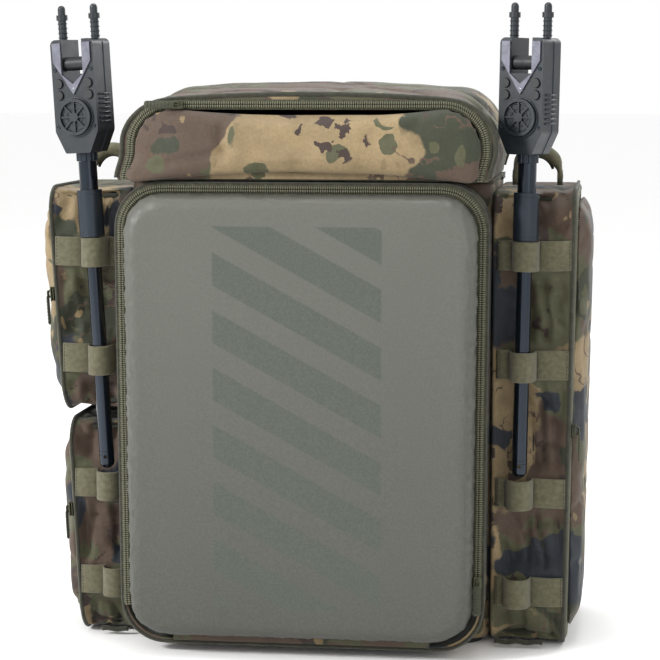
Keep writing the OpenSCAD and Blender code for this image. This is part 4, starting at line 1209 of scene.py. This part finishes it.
# ---------------------------------------------------------------- webbing strips
def strips(side, upper, lower):
    """Webbing sewn across the column, looped out round the stick in its middle cell."""
    g = Geo()
    for i, z in enumerate(STRIP_Z):
        p = upper if i < 2 else lower
        x0 = abs(stick_x(side, z))
        x_end = float(p.outer(z - STRIP_H / 2)) - 2.0
        face = p.y0 - 0.5
        r = 10.0
        pts = []
        start = p.x_in + 5.0
        for f in np.linspace(0, 1, 9):
            pts.append((start + (x0 - r - 1.5 - start) * f, face - 3.4 * math.sin(math.pi * f) ** 0.8))
        for a in np.linspace(0, math.pi, 15):
            depth = abs(STICK_Y - face) * min(1.0, math.sin(a) * 2.2) + (r - 0.6) * math.sin(a) ** 1.2
            pts.append((x0 - r * math.cos(a) * (1.02 if 0.2 < a < 2.9 else 1.12), face - depth))
        for f in np.linspace(0, 1, 9):
            pts.append((x0 + r + 1.5 + (x_end - x0 - r - 1.5) * f, face - 2.4 * math.sin(math.pi * f) ** 0.8))
        pts = np.array(pts)
        path = even(np.column_stack([pts[:, 0] * p.sign, pts[:, 1], np.full(len(pts), z)]), 1.6)
        tan = along(path)
        out = np.cross(tan, np.array([0, 0, 1.0])) * p.sign
        out /= np.linalg.norm(out, axis=1)[:, None]
        s = np.arange(len(path)) * 0.11
        path = path + np.column_stack([s * 0, s * 0, 0.5 * np.sin(s + i * 1.7) + 0.35 * np.sin(s * 0.37 + i)])
        h = STRIP_H / 2
        prof = [(0, -h), (0.9, -h + 0.3), (1.3, -h + 1.4), (1.15, -h + 2.6), (1.15, h - 2.6), (1.3, h - 1.4),
                (0.9, h - 0.3),
                (0, h), (-0.3, h - 1), (-0.3, -h + 1)]
        g.sweep(path, out, (0, 0, 1), prof, 0)
        for xs in (start + 1.6, x0 - r - 1.9, x0 + r + 1.9, x_end - 1.6):
            k = int(np.argmin(np.abs(np.abs(path[:, 0]) - xs) + (np.abs(path[:, 1] - face) > 6) * 50))
            col = np.array([path[k] + out[k] * 1.25 + np.array([0, 0, q])
                            for q in np.linspace(-h + 2, h - 2, 2)])
            stitches(g, col, tan[k], out[k], 1, 2.0, 3.0, 0.75, 0.5)
    return g.build(side + "_webbing_strips", [WEBBING, THREAD], "pack", [side + "_webbing"], "webbing")


# ---------------------------------------------------------------- back
def padded_back():
    lo, hi = span("back_panel")
    o = Outline(box_fn(lo[0], lo[2], hi[0], hi[2], 30), 7)
    g = Geo()
    y0 = lo[1]
    g.rings([xz(o.ring(m), y0 + d) for m, d in ((60, 0.6), (20, 0.4), (3, 0.4), (0.5, 2.5), (0.8, 5), (4, 8),
                                                (10, 9.6), (24, 10.4), (60, 10.6))],
            cap0=True, cap1=True)
    obj = g.build("back_pad", [MESH])
    puff(obj, 5.5, voxel=6.0, pressure=4.0)

    def quilt(p, n):
        x, z = p[:, 0], p[:, 2]
        face = smooth(n[:, 1], 0.2, 0.7)
        channel = np.exp(-((np.abs(x) - 34) / 5.0) ** 2)
        for zc in (110, 190, 270, 340):
            channel = np.maximum(channel, np.exp(-((z - zc - 0.0009 * x * x) / 5.0) ** 2) * (np.abs(x) > 34))
        dent = np.exp(-(x / 30.0) ** 2) * 1.5
        out = np.zeros_like(p)
        out[:, 1] = -face * (4.5 * channel + dent) + 0.5 * fbm(p / 30, 131) * face
        return out
    push(obj, quilt)
    co = points(obj)
    co[:, 1] = np.maximum(co[:, 1], y0 + 0.05)
    co[:, 1] = np.where(co[:, 1] > hi[1] - 0.5, hi[1] - 0.5 + 0.35 * (co[:, 1] - hi[1] + 0.5), co[:, 1])
    write_points(obj, co)
    finish_piece(obj, "pack", ["back_panel"])
    g = Geo()
    g.tube(even(xz(o.ring(-0.4), y0 + 2.4), 6, closed=True)[:-1], 1.9, 0, closed=True, up=(0, 1, 0))
    g.build("back_binding", [BINDING], "pack", slot="webbing")


def shoulder_straps():
    for side, s in (("left", -1), ("right", 1)):
        lo, hi = span("shoulder_strap_" + side)
        mid_z, half = (lo[2] + hi[2]) / 2, (hi[2] - lo[2]) / 2
        sag, thick = 40.0, 12.0
        r = (half * half + sag * sag) / (2 * sag)
        cy = BACK + 16 + thick / 2 + sag - r
        cx = (lo[0] + hi[0]) / 2
        a_end = math.asin(min(1, (half - 1.5) / r))
        ang = np.linspace(-a_end, a_end, 46)
        path = np.array([(cx, cy + r * math.cos(a), mid_z + r * math.sin(a)) for a in ang])
        out = np.array([(0, math.cos(a), math.sin(a)) for a in ang])
        w = 29.0
        prof = []
        for f in np.linspace(-1, 1, 13):
            prof.append((f * w, 3.4 * (1 - abs(f) ** 3.0) + 1.0))
        for f in np.linspace(1, -1, 13):
            prof.append((f * w, -3.4 * (1 - abs(f) ** 3.0) - 1.0))
        g = Geo()
        g.sweep(path, (1, 0, 0), out, prof, 0)
        obj = g.build("shoulder_pad_" + side, [PAD])
        puff(obj, 2.0, voxel=4.5, pressure=2.0)

        def quilt(p, n, cx=cx, s=s):
            x = p[:, 0] - cx
            d = -1.6 * np.exp(-((np.abs(x) - 17) / 2.6) ** 2)
            d -= 1.3 * np.exp(-(((p[:, 2] - mid_z) % 46 - 23) / 2.6) ** 2) * (np.abs(x) < 17)
            return (d * smooth(np.abs(n[:, 0]), 0.9, 0.5) + 0.35 * fbm(p / 14, 141))[:, None] * n
        push(obj, quilt)
        co = points(obj)
        co[:, 1] = np.maximum(co[:, 1], BACK + 16.1)
        write_points(obj, co)
        finish_piece(obj, "pack", ["shoulder_strap_" + side])
        g = Geo()
        edge = path.copy()
        for e in (-1, 1):
            g.tube(edge + np.array([e * (w + 0.4), 0, 0]), 1.9, 0, up=(1, 0, 0))
        band = path[3:-3] + out[3:-3] * 5.4
        g.sweep(band, (1, 0, 0), out[3:-3], [(-9, 0), (9, 0), (9, 0.9), (-9, 0.9)], 1)
        for k in range(6, 40, 7):
            bar = np.array([path[k] + out[k] * 6.5 + np.array([q, 0, 0]) for q in (-8.0, 8.0)])
            stitches(g, bar, np.cross(out[k], (1, 0, 0)), out[k], 2, 1.8, 2.6, 1.6, 0.6)
        g.build("shoulder_trim_" + side, [BINDING, WEBBING_UP, THREAD], "pack", slot="webbing")


def back_webbing():
    lo, hi = span("strap_webbing")
    g = Geo()
    for s in (-1, 1):
        x = s * 75
        zz = np.linspace(lo[2], hi[2], 34)
        path = np.column_stack([np.full(34, float(x)), BACK + 16.1 + 0.5 + 0.4 * np.sin(zz * 0.09), zz])
        g.sweep(path, (1, 0, 0), (0, 1, 0),
                [(-12.5, -0.4), (12.5, -0.4), (12.5, 0.6), (11.2, 1.2), (-11.2, 1.2), (-12.5, 0.6)], 0)
        for zc in (lo[2] + 4, lo[2] + 10):
            bar = np.array([(x - 10, BACK + 17.9, zc), (x + 10, BACK + 17.9, zc)])
            stitches(g, bar, (0, 0, 1), (0, 1, 0), 1, 2.4, 3.4, 1.0, 0.5)
    g.build("lower_webbing", [WEBBING_UP, THREAD], "pack", ["strap_webbing"], "webbing")
    for name, body in (("chest_strap_left", "pack"), ("chest_strap_right", "chest_plug")):
        lo, hi = span(name)
        xs = np.linspace(lo[0], hi[0], 40)
        y = (lo[1] + hi[1]) / 2
        zc = (lo[2] + hi[2]) / 2
        path = np.column_stack([xs, np.full(40, y), np.full(40, zc)])
        h = (hi[2] - lo[2]) / 2
        g = Geo()
        g.sweep(path, (0, 1, 0), (0, 0, 1), [(-0.85, -h + 0.4), (-0.5, -h), (0.5, -h), (0.85, -h + 0.4),
                                             (0.85, h - 0.4), (0.5, h), (-0.5, h), (-0.85, h - 0.4)], 0)
        x_sew = lo[0] + 8 if name.endswith("left") else hi[0] - 8
        for dx in (-4, 4):
            bar = np.array([(x_sew + dx, hi[1] + 0.1, zc - h + 2), (x_sew + dx, hi[1] + 0.1, zc + h - 2)])
            stitches(g, bar, (1, 0, 0), (0, 1, 0), 1, 2.2, 3.0, 0.9, 0.5)
        g.build(name + "_webbing", [WEBBING, THREAD], body, [name], "webbing")


def handles():
    lo, hi = span("haul_handle")
    hang = math.radians(62)
    c = np.array([0, BACK + 16.3 + 4 * math.sin(hang), PACK_H - 15 - 11])
    a = np.linspace(0, math.pi, 40)
    local = np.column_stack([26.5 * np.cos(a), 40.5 * np.sin(a)])
    y_dir = np.array([0, math.cos(hang), -math.sin(hang)])
    z_dir = np.array([0, math.sin(hang), math.cos(hang)])
    path = c + local[:, :1] * np.array([1, 0, 0]) + local[:, 1:] * y_dir
    tan = along(path)
    across = np.cross(tan, z_dir)
    g = Geo()
    b = np.arange(14) * 2 * math.pi / 14
    g.sweep(path, across, z_dir, np.column_stack([3.4 * np.cos(b), 3.9 * np.sin(b)]), 0)
    for e in (6, 33):
        ring = [path[e] + across[e] * 3.6 * math.cos(q) + z_dir * 4.1 * math.sin(q)
                for q in np.arange(13) * math.pi / 6.5]
        g.tube(np.array(ring), 0.5, 1)
    wrap = slice(10, 30)
    g.sweep(path[wrap], across[wrap], z_dir, np.column_stack([3.9 * np.cos(b), 4.4 * np.sin(b)]), 2)
    g.build("haul_loop_webbing", [WEBBING, THREAD, BINDING], "haul_loop", ["haul_handle"], "webbing")
    for side in ("left", "right"):
        lo, hi = span("side_handle_" + side)
        cx, cy = (lo[0] + hi[0]) / 2, (lo[1] + hi[1]) / 2
        z0 = lo[2] + 7
        a = np.linspace(-0.02, math.pi + 0.02, 46)
        path = np.column_stack([cx + 20.0 * np.cos(a), np.full(46, cy), z0 + 23.6 * np.sin(a)])
        tan = along(path)
        out = np.cross(np.array([0, 1.0, 0]), tan) * -1
        out = out * np.sign(np.sum(out * (path - np.array([cx, cy, z0])), axis=1))[:, None]
        g = Geo()
        round_pad = np.arange(16) * math.pi / 8
        rings = []
        for k, q in enumerate(path):
            fat = 2.5 + 3.6 * smooth(math.sin(a[k]), 0.25, 0.75)
            rings.append(q + np.outer(6.9 * np.cos(round_pad), (0, 1, 0))
                         + np.outer(fat * np.sin(round_pad), out[k])
                         + out[k] * 0.4)
        g.rings(rings, 0, cap0=True, cap1=True)
        b = np.arange(18) * 2 * math.pi / 18
        for x in (lo[0] + 2.5, hi[0] - 2.5):
            roll = np.array([(x - 2.4, cy, z0), (x + 2.4, cy, z0)])
            g.sweep(roll, (0, 1, 0), (0, 0, 1), np.column_stack([np.cos(b), np.sin(b)]) * 6.9, 0)
        inner_seam = path[6:-6] - out[6:-6] * 5.0
        g.tube(inner_seam, 1.3, 1, up=(0, 1, 0))
        stitches(g, path[8:-8] + out[8:-8] * 4.6 + np.array([0, 4.6, 0]), (0, 1, 0), out.mean(axis=0), 1, 2.4,
                 3.6, 0.6, 0.6)
        g.build("side_grip_" + side, [WEBBING, THREAD], side + "_grip", ["side_handle_" + side], "webbing")


# ---------------------------------------------------------------- sliders
def slider(name, node, body, origin, x_dir, y_dir, z_dir):
    """A zip slider with its bridge and moulded pull. Local z points out and y up the zip."""
    o, X, Y, Z = (np.array(v, float) for v in (origin, x_dir, y_dir, z_dir))

    def at(q):
        q = np.asarray(q, float)
        return o + q[:, :1] * X + q[:, 1:2] * Y + q[:, 2:] * Z
    g = Geo()
    shield = np.array([(-3.1, -6.4), (3.1, -6.4), (3.9, -3), (3.9, 3.4), (2.6, 6.3), (0.7, 5.3), (-0.7, 5.3),
                       (-2.6, 6.3), (-3.9, 3.4), (-3.9, -3)])
    for z0, z1 in ((0.1, 1.3), (2.3, 3.5)):
        g.rings([at(np.column_stack([shield * k, np.full(len(shield), z)])) for z, k in
                 ((z0, 0.93), (z0 + 0.3, 1.0), (z1 - 0.3, 1.0), (z1, 0.9))], 0, cap0=True, cap1=True)
    post = np.array([(-1, 3.5), (1, 3.5), (1, 5.4), (-1, 5.4)])
    g.rings([at(np.column_stack([post, np.full(4, z)])) for z in (1.0, 2.6)], 0, cap0=True, cap1=True)
    arch = np.array([(0, 3.4 * math.cos(a), 3.5 + 2.3 * math.sin(a)) for a in np.linspace(0, math.pi, 12)])
    g.tube(at(arch), 0.75, 0, up=X)
    ring = np.array([(2.5 * math.cos(a), 0.4 + 2.6 * math.sin(a) - 0.4, 6.2)
                     for a in np.linspace(0, 2 * math.pi, 15)[:-1]])
    g.tube(at(ring), 0.6, 0, closed=True, up=Z)
    pull = Outline(box_fn(-3.3, -27.6, 3.3, -1.4, 2.4), 3, 5)
    g.rings([at(np.column_stack([pull.ring(m), np.full(len(pull.ring(m)), z)])) for m, z in
             ((0.8, 5.9), (0, 6.3), (0, 7.0), (0.8, 7.4))], 1, cap0=True, cap1=True)
    for y in np.arange(-25, -6, 3.0):
        g.sweep(at(np.array([(-2.3, y, 7.3), (2.3, y, 7.3)])), Y, Z,
                [(-0.7, 0), (-0.3, 0.5), (0.3, 0.5), (0.7, 0)], 1)
    g.build(name, [SLIDER, PULL], body, [node], "zip_metal")


def sliders():
    lift = ZIP_T + 2 * GAP
    slope = math.atan((FRONT_TOP - FRONT_BOTTOM) / (Z1 - Z0))
    x = FRONT_BOTTOM + (70 - Z0) * math.tan(slope) - ZIP_LINE
    c, s = math.cos(slope), math.sin(slope)
    slider("front_zip_slider", "front_slider", "door_slider", (x, MOUTH - lift, 70), (c, 0, -s), (s, 0, c),
           (0, -1, 0))
    slider("lid_zip_slider", "lid_slider", "flap_slider",
           (-105, LID_LO[1] - lift, FLAP_Z1 - ZIP_TAPE - ZIP_SLIT / 2),
           (0, 0, -1), (1, 0, 0), (0, -1, 0))
    slider("main_zip_slider", "main_slider", "mouth_slider", (-HALF - 1.8, BACK - 32, PACK_H + 1.4),
           (0, 0, 1), (0, -1, 0), (-1, 0, 0))
    for p, z in ((RIGHT, 194), (UPPER, 308), (LOWER, 114)):
        o = p.world(lift, np.array([[p.y0 + ZIP_LINE, z - p.z0]]))[0]
        slider(p.name + "_zip_slider", p.name + "_slider", p.body + "_slider", o, (0, p.sign, 0),
               p.direction((0, 0, 1)), p.direction((1, 0, 0)))


# ---------------------------------------------------------------- sticks and alarms
def paint(node, mat, edge, segments):
    """Gives a CAD node that stays its material, and rounds its edges by edge millimetres."""
    obj = NODES[node]
    obj.data.materials.clear()
    obj.data.materials.append(mat)
    for p in obj.data.polygons:
        p.material_index = 0
    mod = obj.modifiers.new("soft_edges", "BEVEL")
    mod.width, mod.segments, mod.limit_method = edge * MM, segments, "ANGLE"
    mod.angle_limit = math.radians(32)


def alarm_matrix(side):
    x, lean = STICKS[side]
    turn = {"left": -16, "right": -27}[side]
    m = Matrix.Translation((x, STICK_Y, STICK_Z)) @ Matrix.Rotation(math.radians(lean), 4, "Y") \
        @ Matrix.Translation((0, 0, 66)) @ Matrix.Rotation(math.radians(turn), 4, "Z")
    return np.array(m)


def alarm_details(side):
    """Screws, seam, side ribs, lamps and rings that dress the alarm case."""
    m = alarm_matrix(side)

    def at(q):
        q = np.asarray(q, float)
        return q @ m[:3, :3].T + m[:3, 3]

    def vec(v):
        return m[:3, :3] @ np.array(v, float)
    g = Geo()
    y = -15.0
    for x in (-21.2, 21.2):
        for z in np.arange(34, 62, 4.0):
            g.sweep(at([(x, -9, z), (x, 9, z)]), vec((math.copysign(1, x), 0, 0)), vec((0, 0, 1)),
                    [(-0.4, -1.2), (0.7, -0.7), (0.7, 0.7), (-0.4, 1.2)], 0)
    for x, z in ((-17.5, 31), (17.5, 31), (-17.8, 80), (17.8, 80)):
        b = np.arange(12) * math.pi / 6
        disc = [np.column_stack([x + r * np.cos(b), np.full(12, yy), z + r * np.sin(b)]) for r, yy in
                ((1.9, y + 0.1), (1.9, y - 0.5), (1.5, y - 0.8), (1.0, y - 0.5), (0.9, y - 0.2))]
        g.rings([at(d) for d in disc], 1, cap1=True)
    for r, d in ((16.6, 0.7), (11.8, 0.7), (7.6, 0.7)):
        b = np.arange(40) * math.pi / 20
        depth = y - 0.3 if r > 16 else y - 1.4
        ring = np.column_stack([r * np.cos(b), np.full(40, depth), 39 + r * np.sin(b)])
        g.tube(at(ring), d, 0, closed=True, up=vec((0, 1, 0)))
    b = np.arange(16) * math.pi / 8
    lamp = [np.column_stack([r * np.cos(b), np.full(16, yy), 62.5 + r * np.sin(b)]) for r, yy in
            ((2.4, y + 0.1), (2.4, y - 0.9), (1.9, y - 1.4), (1.0, y - 1.7))]
    g.rings([at(d) for d in lamp], 2, cap1=True)
    seam = Outline(lambda k: ([(-12, 7.6), (12, 7.6), (21, 26.6), (21, 106), (-21, 106), (-21, 26.6)],
                              [2, 2, 8, 5, 5, 8]), 5)
    q = seam.ring(0)
    keep = clip_u(q, lambda w: w[:, 1] < 103)
    g.tube(at(np.column_stack([keep[:, 0], np.full(len(keep), 3.0), keep[:, 1]])), 0.55, 1, up=vec((0, 1, 0)))
    for s in (-1, 1):
        for zz in (104, 108, 112, 116):
            b = np.arange(14) * math.pi / 7
            ring = np.column_stack([s * 16 + 3.75 * np.cos(b), 3.75 * np.sin(b), np.full(14, zz + 4.0)])
            g.tube(at(ring), 0.5, 1, closed=True, up=vec((0, 0, 1)))
    g.build(side + "_alarm_details", [CASE, COLLAR, LENS], side + "_stick", slot="alarm_plastic")


def stick_details(side):
    x, lean = STICKS[side]
    m = np.array(Matrix.Translation((x, STICK_Y, STICK_Z)) @ Matrix.Rotation(math.radians(lean), 4, "Y"))

    def at(q):
        return np.asarray(q, float) @ m[:3, :3].T + m[:3, 3]
    axis = m[:3, 2]
    b = np.arange(32) * math.pi / 16
    g = Geo()
    for z, r, t in ((0.6, 10.9, 0.45), (3.2, 11.0, 0.35), (37.5, 11.0, 0.35), (40.4, 10.7, 0.45)):
        g.tube(at(np.column_stack([r * np.cos(b), r * np.sin(b), np.full(32, z)])), t, 0, closed=True,
               up=axis)
    g.build(side + "_collar_rings", [COLLAR], side + "_collar", slot="collar")
    g = Geo()
    for z in (-193.5, -190.5, -12.0):
        g.tube(at(np.column_stack([6.5 * np.cos(b), 6.5 * np.sin(b), np.full(32, z)])), 0.3, 0, closed=True,
               up=axis)
    g.build(side + "_rod_rings", [STICK], side + "_rod", slot="stick_metal")


STICK_PAINT = (("stick_tube", STICK, 0.4, 2), ("stick_collar", COLLAR, 0.9, 3), ("stick_rod", STICK, 0.3, 2),
               ("alarm_case", CASE, 1.6, 3), ("alarm_fascia", FASCIA, 0.35, 2),
               ("alarm_roller", KEYS, 0.5, 2),
               ("alarm_ears", CASE, 0.5, 2), ("alarm_keypad", KEYS, 0.9, 3), ("alarm_speaker", CASE, 0.35, 2),
               ("alarm_nut", COLLAR, 0.4, 2))
PACK_PAINT = (("frame_sheet", BOARD, 0.6, 2), ("ladder_locks", HARDWARE, 0.7, 3),
              ("chest_buckle_socket", HARDWARE, 1.2, 3), ("chest_buckle_plug", HARDWARE, 0.8, 3))


def hard_parts():
    for side in ("left", "right"):
        for node, mat, edge, segments in STICK_PAINT:
            paint(side + "_" + node, mat, edge, segments)
        alarm_details(side)
        stick_details(side)
    for node, mat, edge, segments in PACK_PAINT:
        paint(node, mat, edge, segments)


# ---------------------------------------------------------------- floor and light
def stage():
    mesh = bpy.data.meshes.new("floor")
    n = 24
    s = 30.0
    verts = [(s * (i / n - 0.5) * 2, s * (j / n - 0.5) * 2, 0) for j in range(n + 1) for i in range(n + 1)]
    faces = [(j * (n + 1) + i, j * (n + 1) + i + 1, (j + 1) * (n + 1) + i + 1, (j + 1) * (n + 1) + i)
             for j in range(n) for i in range(n)]
    mesh.from_pydata(verts, [], faces)
    floor = bpy.data.objects.new("floor", mesh)
    bpy.context.scene.collection.objects.link(floor)
    m = Mat("floor_white")
    tone = m.mix(m.noise(3, 3), (0.955, 0.955, 0.955), (0.975, 0.975, 0.97))
    m.bump((m.noise(60, 2), 0.2, 0.05))
    mesh.materials.append(m.done(tone, 0.9, Specular_IOR_Level=0.1))
    world = bpy.data.worlds.new("studio")
    bpy.context.scene.world = world
    world.use_nodes = True
    world.node_tree.nodes["Background"].inputs[0].default_value = (1, 1, 1, 1)
    world.node_tree.nodes["Background"].inputs[1].default_value = 1.0
    for name, at, size, power, aim in (("key", (-2.0, -1.7, 1.55), 0.55, 70, (0, 0, 0.25)),
                                       ("fill", (1.3, -2.4, 0.9), 1.6, 7, (0, 0, 0.25)),
                                       ("top", (0.1, 0.0, 2.4), 1.0, 22, (0, 0, 0.2)),
                                       ("rim", (1.2, 1.8, 1.2), 1.0, 14, (0, 0, 0.3))):
        data = bpy.data.lights.new(name, "AREA")
        data.shape, data.size, data.energy = "DISK", size, power
        lamp = bpy.data.objects.new(name, data)
        bpy.context.scene.collection.objects.link(lamp)
        lamp.location = at
        lamp.rotation_euler = (Vector(aim) - Vector(at)).to_track_quat("-Z", "Y").to_euler()
    bpy.context.scene.view_settings.view_transform = "Standard"


pack_body()
feet()
front_pocket()
front_door()
side_pocket(RIGHT, CAMO_SIDE, 201)
side_pocket(UPPER, CAMO_SIDE, 211)
side_pocket(LOWER, CAMO_SIDE, 221)
side_zips()
hinges()
lid()
flap_zips()
main_zips()
flap()
strips("left", UPPER, LOWER)
strips("right", RIGHT, RIGHT)
padded_back()
shoulder_straps()
back_webbing()
handles()
sliders()
hard_parts()
stage()

bpy.context.view_layer.update()
